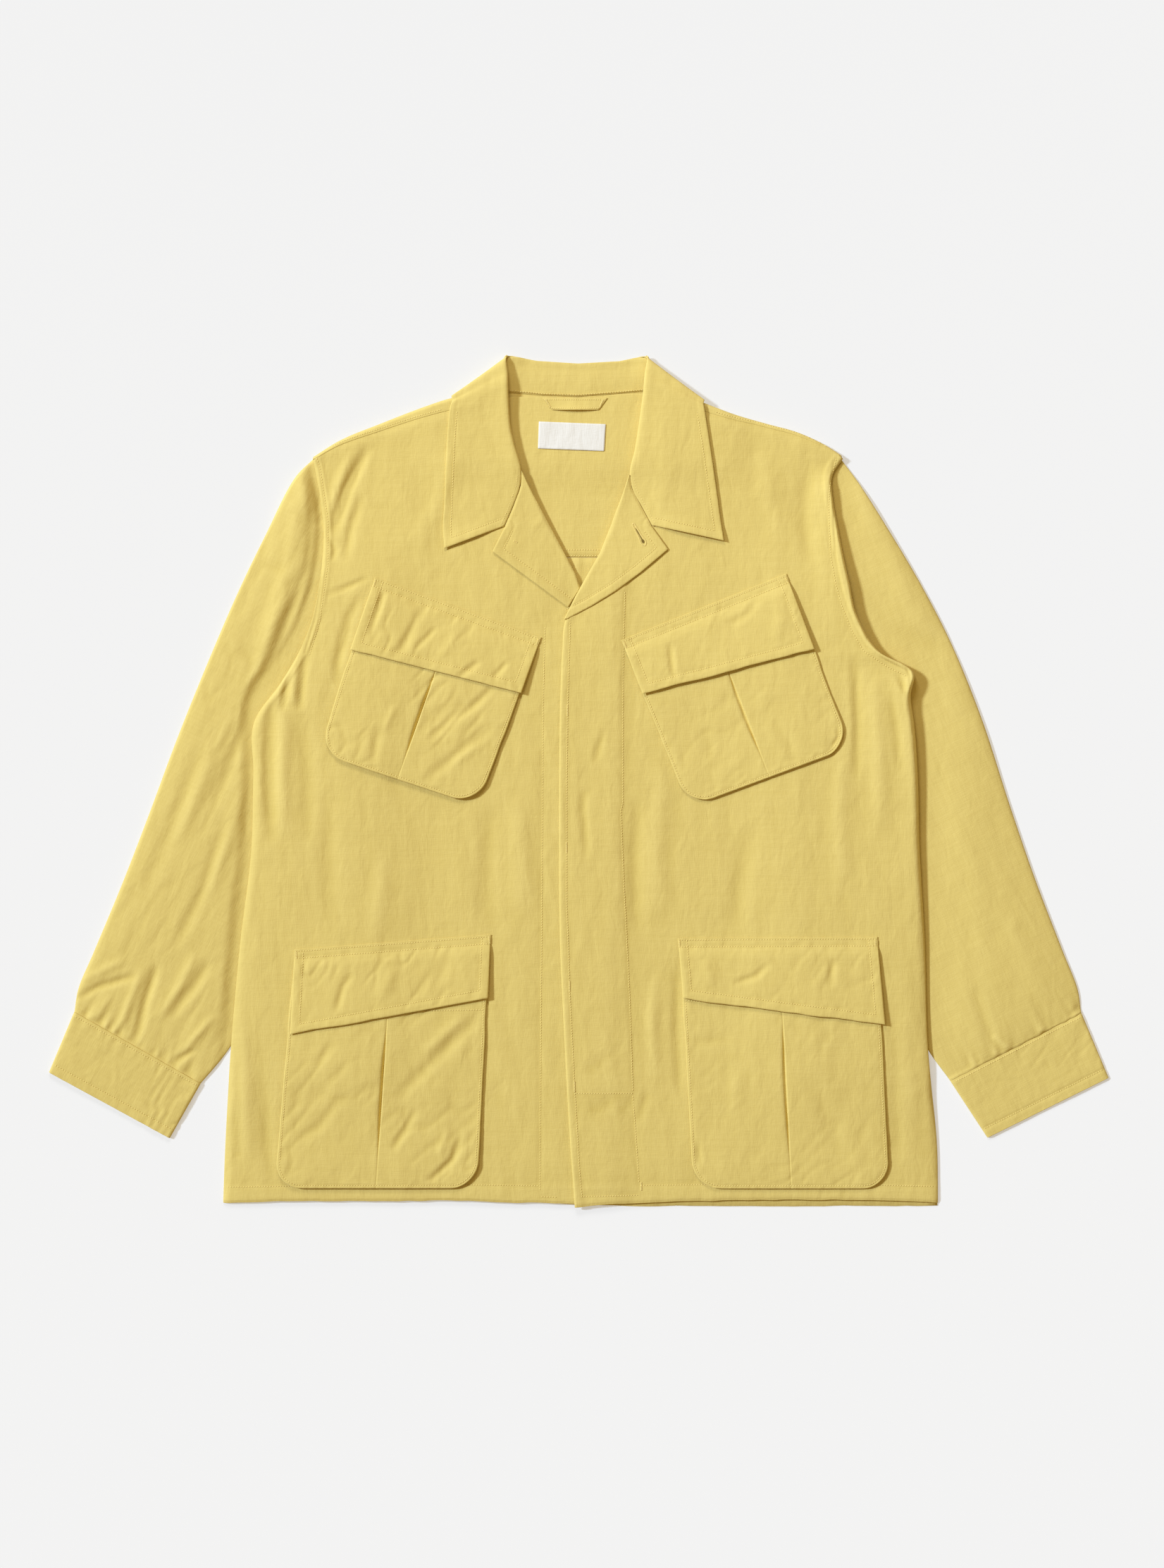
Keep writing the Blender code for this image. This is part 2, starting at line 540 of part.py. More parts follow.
def make_sleeve(name, table, edge, tuck, material):
    """A flattened tube from the armhole, partly under the body, to the gathers at the cuff."""
    sections = through_rows(table, spread_rows(table, 17))
    share, height = ring_shares(sections, 2 * CUFF_GATHERS + 1, 5)
    xy = ruled(sections, share)
    armhole = armhole_curve(edge, tuck, (table[0].inner_x, table[0].inner_y), share[0])
    rows = np.linspace(0.0, 1.0, len(sections))
    fade = (1.0 - smooth(rows, 0.0, 0.35))[:, None, None]
    xy = xy + (armhole - xy[0])[None] * fade
    x, y = xy[..., 0], xy[..., 1]
    widest = np.max([body_half_width(x, y - drop) for drop in (0.0, 12.0, 24.0)], axis=0)
    clear = smooth(np.abs(x) - widest, 5.0, 28.0)
    loft = SLEEVE_TUCKED + (SLEEVE_LOFT + fold_rise(SLEEVE_FOLDS, x, y)) * clear
    gathers = np.zeros(len(height))
    gathers[0:2 * CUFF_GATHERS + 1:2] = GATHER_RISE
    loft[-1] += gathers
    loft = np.maximum(loft, SLEEVE_TUCKED)
    cloth(name, with_height(xy, loft * height), material, closed=True, flip=table[0].outer_x < 0.0)


def make_cuff(name, table, material):
    """A short flattened tube below the sleeve."""
    sections = straight_rows(table, 3)
    share, height = ring_shares(sections, 10, 4)
    swell = 1.0 - 0.12 * np.linspace(0.0, 1.0, len(sections))[:, None]
    points = with_height(ruled(sections, share), CUFF_HEIGHT * swell * height)
    cloth(name, points, material, closed=True, flip=table[0].outer_x < 0.0)


def make_fall(material):
    """The collar fall, on the fronts at the sides and under the yoke at the back."""
    sections = through_rows(FALL, spread_rows(FALL, 2 * len(FALL) - 1))
    roll, edge = sections[:, 0:2], sections[:, 2:4]
    way = edge - roll
    width = np.linalg.norm(way, axis=1)[:, None]
    reach = np.concatenate((np.array((0.0, 0.35, 1.4))[None] * np.ones_like(width),
                            1.4 + np.linspace(0.25, 1.0, 4)[None] * (width - 1.4)), axis=1)
    xy = roll[:, None] + way[:, None] * (reach / width)[..., None]
    top = np.clip(sections[:, 4:5], 0.0, 1.0)
    on_front = fronts_top(xy[..., 0], xy[..., 1])
    rolled = smooth(roll[:, 1:2], 274.0, 300.0)
    turned = np.array((1.3, 0.5, 0.0, 0.0, 0.0, 0.0, 0.0))[None] * (1.0 - 2.0 * top) * rolled
    z = top * (on_front + LAY_GAP + WALL) + turned
    cloth("collar_fall", with_height(xy, z), material, flip=True)


def make_stand(material):
    """The collar stand between the neck seam and the roll."""
    sections = straight_rows(STAND, 1)
    xy = ruled(sections, np.linspace(0.0, 1.0, 4))
    top = sections[:, 4:5]
    on_front = fronts_top(xy[..., 0], xy[..., 1]) - SEAM_GAP
    cloth("collar_stand", with_height(xy, top * on_front + (1.0 - top) * FALL_ROOM), material)


def make_lapel(name, table, top, material):
    """A lapel turned back at its roll line on to the front."""
    sections = straight_rows(table, 1)
    way = sections[:, 2:4] - sections[:, 0:2]
    width = np.linalg.norm(way, axis=1)[:, None]
    reach = np.concatenate((np.array((-1.2, -0.7, 0.0))[None] * np.ones_like(width),
                            np.linspace(0.25, 1.0, 4)[None] * width), axis=1)
    xy = sections[:, None, 0:2] + way[:, None] * (reach / width)[..., None]
    turned = np.array((-1.1, -0.35, 0.0, 0.0, 0.0, 0.0, 0.0))[None]
    z = top(xy[..., 0], xy[..., 1]) + LAY_GAP + WALL + turned
    side = 1.0 if table[3].edge_x > 0.0 else -1.0
    cloth(name, with_height(xy, z), material, flip=side > 0.0)


def pocket_rows(pocket):
    """Left and right ends of a pocket's rows, mouth to base, with its rounded lower corners."""
    mouth_l, mouth_r = np.array(pocket.mouth_l), np.array(pocket.mouth_r)
    base_l, base_r = np.array(pocket.base_l), np.array(pocket.base_r)
    depth = np.linalg.norm((base_l + base_r - mouth_l - mouth_r) / 2.0)
    turn = np.radians((0.0, 22.0, 45.0, 67.0, 90.0))
    from_base = POCKET_CORNER * (1.0 - np.sin(turn))
    down = np.concatenate((np.linspace(0.0, 1.0 - POCKET_CORNER / depth, 6)[:-1], 1.0 - from_base / depth))
    inset = np.concatenate((np.zeros(5), POCKET_CORNER * (1.0 - np.cos(turn))))
    ends_l = mouth_l + (base_l - mouth_l) * down[:, None]
    ends_r = mouth_r + (base_r - mouth_r) * down[:, None]
    way = (ends_r - ends_l) / np.linalg.norm(ends_r - ends_l, axis=1)[:, None]
    return np.concatenate((ends_l + way * inset[:, None], ends_r - way * inset[:, None]), axis=1), down


def make_pocket(name, pocket, top, material):
    """A patch pocket that stands on its gusset, with an inverted pleat down the middle."""
    sections, down = pocket_rows(pocket)
    width = np.linalg.norm(sections[:, 2:4] - sections[:, 0:2], axis=1)[:, None]
    pleat = np.array((-4.0, -PLEAT_HALF, 0.0, PLEAT_HALF, 4.0))[None] / width
    half = np.array((0.0, 0.33, 0.67))[None] * (0.5 - 4.0 / width)
    share = np.concatenate((half, 0.5 + pleat, 1.0 - half[:, ::-1]), axis=1)[..., None]
    xy = sections[:, None, 0:2] * (1.0 - share) + sections[:, None, 2:4] * share
    dip = PLEAT_DIP * smooth(down, 0.02, 0.25) * (1.0 - smooth(down, 0.6, 0.86))
    dip = dip[:, None] * (np.arange(share.shape[1]) == share.shape[1] // 2)
    z = top(xy[..., 0], xy[..., 1]) + LAY_GAP + SEAM_GAP + 2.0 * WALL - dip
    cloth(name, with_height(xy, z), material, flip=True)


def make_gusset(name, pocket, top, material):
    """The folded strip under the sides and base of a pocket."""
    sections, _ = pocket_rows(pocket)
    base = sections[-1, 0:2] + (sections[-1, 2:4] - sections[-1, 0:2]) * np.linspace(0.0, 1.0, 7)[1:-1, None]
    path = np.concatenate((sections[:, 0:2], base, sections[::-1, 2:4]))
    along = np.gradient(path, axis=0)
    along = along / np.linalg.norm(along, axis=1)[:, None]
    inwards = np.stack((-along[:, 1], along[:, 0]), axis=1)
    outer = path + inwards * GUSSET_INSET
    xy = ruled(np.concatenate((outer, outer + inwards * GUSSET_WIDTH), axis=1), np.linspace(0.0, 1.0, 2))
    cloth(name, with_height(xy, top(xy[..., 0], xy[..., 1]) + LAY_GAP + WALL), material, flip=True)


def make_flap(name, pocket, top, material):
    """A flap sewn above the pocket's mouth and lying on the pocket."""
    upper = np.array((pocket.flap_tl, pocket.flap_tr))
    lower = np.array((pocket.flap_bl, pocket.flap_br))
    depth = np.linalg.norm(lower - upper, axis=1)
    down = np.array((0.0, 4.0, 8.0, 12.0))[:, None] / depth[None]
    down = np.concatenate((down, np.linspace(0.45, 1.0, 3)[:, None] * np.ones(2)))[..., None]
    ends = upper[None] * (1.0 - down) + lower[None] * down
    xy = ruled(ends.reshape(len(ends), 4), np.linspace(0.0, 1.0, 7))
    step = np.array((0.0, 0.12, 0.7, 1.0, 1.0, 1.0, 1.0))[:, None]
    over_bag = SEAM_GAP + 2.0 * WALL + LAY_GAP
    z = top(xy[..., 0], xy[..., 1]) + LAY_GAP + WALL + over_bag * step
    cloth(name, with_height(xy, z), material, flip=True)


def make_patch(name, corners, material):
    """A flat four-cornered piece on the yoke."""
    rows = np.array(corners, dtype=float).reshape(2, 4)
    xy = ruled(straight_rows(rows, 2), np.linspace(0.0, 1.0, 7))
    cloth(name, with_height(xy, yoke_top(xy[..., 0], xy[..., 1]) + LAY_GAP + WALL), material, flip=True)


for old in list(bpy.data.objects):
    bpy.data.objects.remove(old, do_unlink=True)
JACKET = bpy.data.collections.new("jungle_jacket")
bpy.context.scene.collection.children.link(JACKET)

cotton = paint("cotton", COTTON, 0.9)
label_cloth = paint("label", LABEL_WHITE, 0.85)

make_back(cotton)
make_yoke(cotton)
make_front("front_right", FRONT_RIGHT, front_top, cotton)
make_front("front_left", FRONT_LEFT, left_front_top, cotton)
make_lapel("facing_right", LAPEL_RIGHT, front_top, cotton)
make_lapel("facing_left", LAPEL_LEFT, left_front_top, cotton)
make_stand(cotton)
make_fall(cotton)
make_sleeve("sleeve_right", SLEEVE_RIGHT, SIDE_RIGHT, SLEEVE_TUCK_RIGHT, cotton)
make_sleeve("sleeve_left", SLEEVE_LEFT, SIDE_LEFT, SLEEVE_TUCK_LEFT, cotton)
make_cuff("cuff_right", CUFF_RIGHT, cotton)
make_cuff("cuff_left", CUFF_LEFT, cotton)
for place, pocket in POCKETS.items():
    front = left_front_top if place.endswith("left") else front_top
    make_pocket("pocket_" + place, pocket, front, cotton)
    make_gusset("gusset_" + place, pocket, front, cotton)
    make_flap("flap_" + place, pocket, front, cotton)
make_patch("hanger_loop", ((-32.6, 347.5, 26.2, 347.5), (-23.7, 337.0, 18.6, 337.0)), cotton)
make_patch("label", ((-35.2, 325.4, 25.0, 325.4), (-36.5, 301.0, 23.7, 299.8)), label_cloth)
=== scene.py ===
"""A jungle jacket laid flat on a white floor, seen from straight above.

Every cut piece is a thin closed shell of cloth on the form of its solid, with the main creases placed one
by one.  Sizes are in millimetres and become metres when a mesh is made.  X runs to the viewer's right, Y to
the collar and Z up.  Pieces are named by the wearer's sides, so the wearer's left is at +X.
"""

from __future__ import annotations

import logging
from dataclasses import dataclass, field
from enum import Enum

import bpy
import numpy as np
from bpy.types import ID, Material, Mesh, Node, NodeSocket, NodeTree, Object
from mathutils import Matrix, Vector

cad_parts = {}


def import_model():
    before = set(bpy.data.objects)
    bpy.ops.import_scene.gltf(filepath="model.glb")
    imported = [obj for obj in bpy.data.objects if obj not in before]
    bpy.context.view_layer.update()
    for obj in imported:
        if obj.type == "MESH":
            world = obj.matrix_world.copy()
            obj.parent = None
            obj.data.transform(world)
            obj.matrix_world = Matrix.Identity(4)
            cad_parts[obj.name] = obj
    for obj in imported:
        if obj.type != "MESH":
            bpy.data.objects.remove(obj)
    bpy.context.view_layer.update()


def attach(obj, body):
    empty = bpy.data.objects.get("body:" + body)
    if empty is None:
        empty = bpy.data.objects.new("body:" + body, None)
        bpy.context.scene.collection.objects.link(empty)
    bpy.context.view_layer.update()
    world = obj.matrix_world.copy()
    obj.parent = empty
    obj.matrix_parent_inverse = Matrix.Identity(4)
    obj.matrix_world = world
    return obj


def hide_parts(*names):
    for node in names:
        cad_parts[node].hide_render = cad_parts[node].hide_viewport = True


LOG = logging.getLogger("jungle_jacket")
Array = np.ndarray
Colour = tuple[float, float, float]
Span = tuple[float, float]
Path = tuple[Span, ...]
Row = tuple[float, ...]
Table = tuple[Row, ...]
CreaseTable = tuple[tuple[Path, float, float], ...]

MM = 0.001
# Middle of the outline in the tables, which becomes the origin
CENTRE = np.array((0.35, -0.1, 0.0))
# Least length that a direction is taken from, and least cosine of half the turn at a mitred corner
TINY = 1e-9
SHARPEST_MITRE = 0.4
# Usual size of a patch of crisp creases
FOLD_PATCH = 34.0
# Places whose heights are looked up at once
PLACES_AT_ONCE = 200

# Sections of the fronts, hem to shoulder: front edge x y, side seam or armhole x y, bow of the row
FRONT_RIGHT: Table = (
    (20.0, -384.0, -322.6, -383.0, 3.0), (20.0, -338.0, -321.0, -338.0, 0.0),
    (19.0, -240.0, -315.0, -238.0, 0.0), (18.0, -148.0, -307.0, -148.0, 0.0),
    (18.0, -58.0, -296.6, -58.6, 0.0), (18.0, 7.0, -295.0, 6.7, 0.0),
    (18.0, 60.0, -293.0, 57.0, 0.0), (18.0, 88.0, -271.0, 88.0, 0.0),
    (17.0, 118.0, -252.5, 119.0, 0.0), (14.0, 150.0, -240.6, 149.0, 0.0),
    (1.4, 177.0, -235.5, 174.0, 0.0), (-13.2, 205.0, -232.3, 203.0, 0.0),
    (-29.8, 236.0, -231.3, 229.0, 0.0), (-48.5, 268.0, -234.0, 255.0, 0.0),
    (-80.0, 303.0, -237.5, 273.0, 3.0), (-99.5, 336.0, -241.0, 290.0, 0.0),
)
FRONT_LEFT: Table = (
    (-3.4, -386.2, 326.4, -382.4, 5.0), (-7.0, -338.0, 325.8, -336.0, 0.0),
    (-12.6, -240.0, 317.0, -241.0, 0.0), (-17.0, -140.0, 314.0, -142.0, 0.0),
    (-17.7, -58.0, 309.4, -58.6, 0.0), (-17.6, 7.0, 307.8, 7.0, 0.0),
    (-17.0, 58.0, 304.4, 54.0, 0.0), (-16.4, 80.0, 301.5, 78.0, 0.0),
    (-15.8, 100.0, 304.0, 98.0, 0.0), (-14.8, 118.0, 272.0, 118.0, 0.0),
    (-11.6, 147.5, 252.5, 150.0, 0.0), (4.0, 177.0, 245.5, 180.0, 0.0),
    (20.8, 204.0, 240.0, 206.0, 0.0), (33.8, 236.0, 235.0, 232.0, 0.0),
    (47.0, 271.0, 230.5, 258.0, 0.0), (76.0, 304.0, 230.5, 277.0, 2.0),
    (98.5, 337.0, 240.0, 291.6, 0.0),
)

# Sections of the sleeves, armhole to cuff seam, and of the cuffs: outer fold x y, inner fold x y
SLEEVE_RIGHT: Table = (
    (-241.5, 292.6, -222.0, 60.0), (-258.0, 275.5, -229.0, 25.0), (-284.8, 223.0, -237.0, -15.0),
    (-309.0, 171.8, -246.0, -60.0), (-336.0, 109.0, -255.0, -102.0), (-365.0, 37.0, -264.0, -138.0),
    (-391.0, -33.0, -275.0, -170.0), (-415.0, -95.0, -288.0, -198.0), (-440.0, -155.0, -303.5, -222.0),
    (-454.5, -190.0, -325.0, -253.5), (-457.6, -209.0, -342.8, -274.2),
)
SLEEVE_LEFT: Table = (
    (241.5, 292.6, 224.0, 60.0), (257.3, 270.4, 231.0, 22.0), (286.0, 223.0, 239.0, -18.0),
    (314.9, 171.8, 248.0, -60.0), (340.5, 120.6, 257.0, -102.0), (366.0, 57.0, 266.0, -138.0),
    (392.0, -23.0, 276.0, -170.0), (415.0, -90.0, 288.0, -197.0), (440.0, -155.0, 303.0, -219.0),
    (453.5, -190.0, 321.0, -249.5), (456.4, -209.8, 337.0, -271.2),
)
CUFF_RIGHT: Table = ((-457.8, -209.4, -343.0, -274.6), (-480.6, -264.0, -370.9, -323.9))
CUFF_LEFT: Table = ((456.6, -210.2, 337.2, -271.6), (481.3, -269.1, 371.2, -323.5))

# Shoulder line, and the yoke's width in front of it by share of the half width
SHOULDER: Table = (
    (-243.0, 292.5), (-218.0, 308.3), (-181.0, 323.8), (-139.0, 339.8), (-117.0, 347.0), (-92.0, 351.5),
    (0.0, 362.0), (92.0, 351.0), (113.0, 343.4), (140.0, 333.2), (171.0, 324.2), (199.0, 316.4),
    (231.0, 300.6), (242.0, 293.0),
)
YOKE_TOP: Table = (
    (-1.0, 2.6), (-0.85, 5.5), (-0.62, 8.8), (-0.5, 11.0), (-0.41, 11.0), (-0.36, 2.6), (-0.32, -1.0),
    (-0.265, -4.2), (-0.13, -8.4), (0.0, -13.5), (0.13, -7.6), (0.265, -3.2), (0.32, -1.0), (0.36, 2.6),
    (0.41, 8.0), (0.5, 7.5), (0.66, 4.0), (1.0, 2.6),
)

# Collar fall and stand: roll or neck x y, outer edge or roll x y, 1 on the fronts to 0 under the yoke
FALL: Table = (
    (-67.2, 231.4, -121.6, 210.9, 1.0), (-60.0, 248.0, -122.9, 229.4, 1.0),
    (-53.0, 268.0, -121.8, 250.0, 1.0), (-51.8, 281.0, -121.0, 268.0, 1.0),
    (-58.2, 306.2, -119.7, 299.8, 1.0), (-62.0, 325.4, -118.0, 325.4, 1.0),
    (-63.4, 350.0, -116.6, 338.0, 1.0), (-64.0, 370.0, -114.6, 344.5, 0.92),
    (-64.6, 385.6, -113.8, 348.9, 0.5), (-62.6, 386.0, -111.6, 346.8, 0.12),
    (-56.0, 385.2, -108.0, 335.0, 0.0), (-39.0, 381.8, -60.0, 312.0, 0.0),
    (-0.6, 379.2, -0.6, 306.0, 0.0), (37.8, 381.4, 58.0, 312.0, 0.0),
    (53.0, 384.6, 105.0, 334.0, 0.0), (59.4, 385.6, 110.6, 343.0, 0.12),
    (61.4, 385.2, 112.9, 345.2, 0.5), (60.0, 370.0, 113.2, 341.5, 0.92),
    (58.2, 351.0, 114.2, 336.5, 1.0), (55.7, 331.8, 116.0, 325.4, 1.0),
    (51.0, 301.0, 119.8, 301.0, 1.0), (46.5, 278.0, 123.5, 276.0, 1.0),
    (49.0, 265.0, 125.5, 262.0, 1.0), (57.0, 249.9, 128.5, 240.0, 1.0),
    (66.6, 232.0, 131.8, 217.9, 1.0),
)
STAND: Table = (
    (-63.0, 289.0, -57.0, 289.5, 1.0), (-77.5, 306.2, -62.0, 306.2, 1.0),
    (-86.0, 322.0, -66.0, 325.4, 1.0), (-88.5, 337.5, -67.4, 346.0, 1.0),
    (-78.5, 345.5, -66.0, 358.0, 1.0), (-75.3, 354.4, -68.3, 368.9, 0.88),
    (-76.5, 355.0, -69.5, 369.5, 0.5), (-75.3, 354.4, -68.3, 368.9, 0.12),
    (-71.5, 353.0, -68.0, 376.0, 0.0), (-65.5, 353.0, -65.2, 384.4, 0.0),
    (-57.0, 352.4, -56.0, 384.8, 0.0), (-32.6, 350.3, -38.0, 381.3, 0.0),
    (-0.6, 349.2, -0.6, 378.9, 0.0), (31.4, 351.6, 37.0, 381.0, 0.0),
    (55.0, 353.6, 53.0, 384.2, 0.0), (62.5, 353.8, 62.0, 383.8, 0.0),
    (69.4, 353.0, 65.0, 376.0, 0.0), (73.4, 354.3, 64.4, 368.8, 0.12),
    (74.5, 355.0, 65.5, 369.5, 0.5), (73.4, 354.3, 64.4, 368.8, 0.88),
    (76.5, 345.5, 62.6, 357.0, 1.0), (86.5, 338.0, 62.8, 347.0, 1.0),
    (82.5, 323.0, 60.0, 331.8, 1.0), (72.5, 306.6, 55.5, 306.0, 1.0),
    (56.5, 288.5, 51.5, 288.5, 1.0),
)

# Lapels, gorge to the end of the roll: roll line x y, outer edge x y
LAPEL_RIGHT: Table = (
    (-51.4, 280.4, -51.6, 279.2), (-46.5, 269.5, -52.4, 267.6), (-42.0, 260.8, -59.4, 247.7),
    (-37.2, 252.0, -66.6, 231.0),
    (-31.0, 240.0, -78.0, 208.3), (-21.3, 222.0, -58.2, 193.6), (-11.7, 204.0, -39.0, 179.5),
    (-2.7, 187.0, -22.0, 167.0), (1.0, 175.0, -9.5, 157.8),
)
LAPEL_LEFT: Table = (
    (46.0, 277.0, 46.4, 275.8), (42.6, 266.4, 48.4, 264.6), (39.2, 256.4, 56.4, 249.6),
    (35.0, 246.0, 66.0, 231.6),
    (30.0, 232.0, 81.3, 210.2), (20.0, 207.0, 57.0, 189.7), (8.0, 186.0, 34.0, 172.5),
    (-2.5, 167.0, 12.2, 159.0), (-12.4, 147.0, -8.6, 148.0),
)

# Roll of the collar and the lapel on each side, from the shoulder to the closing
ROLL_RIGHT: Path = (
    (-63.4, 350.0), (-62.0, 325.4), (-58.2, 306.2), (-51.8, 281.0), (-48.6, 273.5), (-42.6, 262.0),
    (-37.2, 252.0), (-31.0, 240.0), (-21.3, 222.0), (-11.7, 204.0), (-2.7, 187.0), (1.0, 175.0),
)
ROLL_LEFT: Path = (
    (58.2, 351.0), (55.7, 331.8), (51.0, 301.0), (46.5, 278.0), (43.4, 268.5), (39.5, 257.0),
    (35.0, 246.0), (30.0, 232.0), (20.0, 207.0), (8.0, 186.0), (-2.5, 167.0), (-11.2, 150.5),
)


def smooth(value: Array, start: float, end: float) -> Array:
    """Ease from 0 at start to 1 at end."""
    part = np.clip((value - start) / (end - start), 0.0, 1.0)
    return part * part * (3.0 - 2.0 * part)


def ease_off(value: Array, start: float, end: float) -> Array:
    """Ease from 1 at start to 0 at end."""
    return 1.0 - smooth(value, start, end)


def unit(vectors: Array) -> Array:
    """Vectors of length 1 that point the same ways."""
    return vectors / np.maximum(np.linalg.norm(vectors, axis=-1, keepdims=True), TINY)


def left_of(ways: Array) -> Array:
    """Directions on the floor turned a quarter to their left."""
    return np.stack((-ways[..., 1], ways[..., 0]), axis=-1)


def path_run(path: Array) -> Array:
    """Distance along a path from its first point to each of its points."""
    return np.concatenate(([0.0], np.cumsum(np.linalg.norm(np.diff(path, axis=0), axis=1))))


def along_path(path: Array, at: Array) -> Array:
    """Places at distances along a path."""
    run = path_run(path)
    return np.stack([np.interp(at, run, path[:, axis]) for axis in (0, 1)], axis=1)


def row_places(length: int, count: int, close: Row = ()) -> Array:
    """Even places along the rows of a table, with a few closer ones among them."""
    return np.unique(np.concatenate((np.linspace(0.0, length - 1.0, count), close)))


def through_rows(rows: Table, count: int, close: Row = ()) -> Array:
    """Smooth curve through the rows of a table.

    Each stretch is a cubic with the table's own slopes at its ends, measured along the rows' run.

    Args:
        rows: the table.
        count: how many rows to read, evenly spread by row number.
        close: row numbers of more rows to read.

    Returns:
        The rows read.
    """
    table = np.array(rows, dtype=float)
    run = path_run(table[:, :4])
    slope = np.gradient(table, run, axis=0)
    places = row_places(len(table), count, close)
    row = np.clip(np.floor(places).astype(int), 0, len(table) - 2)
    span = (run[row + 1] - run[row])[:, None]
    part = (places - row)[:, None]
    rest = 1.0 - part
    ahead = table[row] * (1.0 + 2.0 * part) * rest ** 2 + slope[row] * span * part * rest ** 2
    behind = table[row + 1] * (1.0 + 2.0 * rest) * part ** 2 - slope[row + 1] * span * rest * part ** 2
    return ahead + behind


def straight_rows(rows: Table, count: int) -> Array:
    """The rows of a table read at even places with straight steps between them."""
    table = np.array(rows, dtype=float)
    places = np.linspace(0.0, len(table) - 1.0, count)
    return np.stack([np.interp(places, np.arange(len(table)), column) for column in table.T], axis=1)


def section_widths(sections: Array) -> Array:
    """Length of each section, from end to end, as a column."""
    return np.linalg.norm(sections[:, 2:4] - sections[:, 0:2], axis=1)[:, None]


def ruled(sections: Array, shares: Array) -> Array:
    """Places on straight lines between the two ends of each section."""
    share = np.broadcast_to(shares, (len(sections), np.shape(shares)[-1]))[..., None]
    return sections[:, None, 0:2] * (1.0 - share) + sections[:, None, 2:4] * share


def with_height(xy: Array, z: Array) -> Array:
    """Grid of points from a grid of places and their heights."""
    return np.concatenate((xy, np.broadcast_to(z, xy.shape[:2])[..., None]), axis=2)


def near_path(path: Array, reach: float, x: Array, y: Array) -> Array:
    """Which places lie in the box round a path, widened by a reach."""
    low, high = path.min(axis=0) - reach, path.max(axis=0) + reach
    return (x > low[0]) & (x < high[0]) & (y > low[1]) & (y < high[1])


def path_distance(path: Array, x: Array, y: Array) -> tuple[Array, Array]:
    """Distance to a path, and the share of the path's run at its nearest place.

    The distance is the least of those to the path's straight stretches.

    Args:
        path: points of the path.
        x, y: places across and along the body.

    Returns:
        The distances and the shares.
    """
    run = path_run(path)
    nearest = np.full(np.shape(x), np.inf)
    share = np.zeros(np.shape(x))
    for number in range(len(path) - 1):
        start, step = path[number], path[number + 1] - path[number]
        part = ((x - start[0]) * step[0] + (y - start[1]) * step[1]) / (step @ step)
        part = np.clip(part, 0.0, 1.0)
        distance = np.hypot(x - start[0] - part * step[0], y - start[1] - part * step[1])
        closer = distance < nearest
        nearest = np.where(closer, distance, nearest)
        at = (run[number] + part * (run[number + 1] - run[number])) / run[-1]
        share = np.where(closer, at, share)
    return nearest, share


def move_aside(path: Array, distance: float) -> Array:
    """A path moved to its left, with mitred corners.

    Each point goes along the mean of the two directions to the left that meet there.

    Args:
        path: points of the path.
        distance: how far, below 0 for its right.

    Returns:
        The points of the new path.
    """
    left = left_of(unit(np.diff(path, axis=0)))
    before = np.concatenate((left[:1], left))
    after = np.concatenate((left, left[-1:]))
    middle = unit(before + after)
    reach = distance / np.maximum(np.sum(middle * before, axis=1), SHARPEST_MITRE)
    return path + middle * reach[:, None]


def lattice(i: Array, j: Array, seed: float) -> Array:
    """Repeatable value from 0 to 1 for whole-numbered places: the fraction left of a large sine."""
    wave = np.sin(i * 127.1 + j * 311.7 + seed * 74.7) * 43758.5453
    return wave - np.floor(wave)


def value_noise(x: Array, y: Array, seed: float) -> Array:
    """Smooth noise from -1 to 1, eased between the values of a lattice of unit cells.

    Args:
        x, y: places, in cells.
        seed: number of the pattern.

    Returns:
        The values.
    """
    i, j = np.floor(x), np.floor(y)
    u, v = smooth(x - i, 0.0, 1.0), smooth(y - j, 0.0, 1.0)
    low = lattice(i, j, seed) * (1.0 - u) + lattice(i + 1.0, j, seed) * u
    high = lattice(i, j + 1.0, seed) * (1.0 - u) + lattice(i + 1.0, j + 1.0, seed) * u
    return 2.0 * (low * (1.0 - v) + high * v) - 1.0


def crinkle(x: Array, y: Array, seed: float) -> Array:
    """Soft waves of worn cloth along Y: three sizes of noise, each finer and lower than the last."""
    long_waves = 0.42 * value_noise(x / 27.0, y / 90.0, seed)
    short_waves = 0.22 * value_noise(x / 11.0 + 0.1 * y / 11.0, y / 36.0, seed + 1.0)
    return long_waves + short_waves + 0.1 * value_noise(x / 5.0, y / 8.0, seed + 2.0)


def folds(x: Array, y: Array, angle: float, length: float, width: float, seed: float) -> Array:
    """Crisp creases that run one way, in patches.

    Each is a sharp valley along the zero lines of a noise that is stretched along the angle, and a wider
    noise fades them in and out.

    Args:
        x, y: places across and along the body.
        angle: direction of the creases in degrees.
        length: usual length of a crease.
        width: usual distance between creases.
        seed: number of the pattern.

    Returns:
        Heights from -1 to 0.
    """
    turn = np.radians(angle)
    along, across = x * np.cos(turn) + y * np.sin(turn), y * np.cos(turn) - x * np.sin(turn)
    noise = value_noise(along / length, across / width, seed)
    patch = smooth(value_noise(x / FOLD_PATCH, y / FOLD_PATCH, seed + 7.0), -0.3, 0.5)
    return -patch * np.maximum(1.0 - np.abs(noise) / 0.4, 0.0) ** 1.4


def sway(along: Array, seed: float) -> Array:
    """Small wander of a sewn edge from its straight line: a long noise and a shorter one."""
    flat = 0.0 * along
    return 0.7 * value_noise(along / 30.0, flat, seed) + 0.4 * value_noise(along / 11.0, flat, seed)


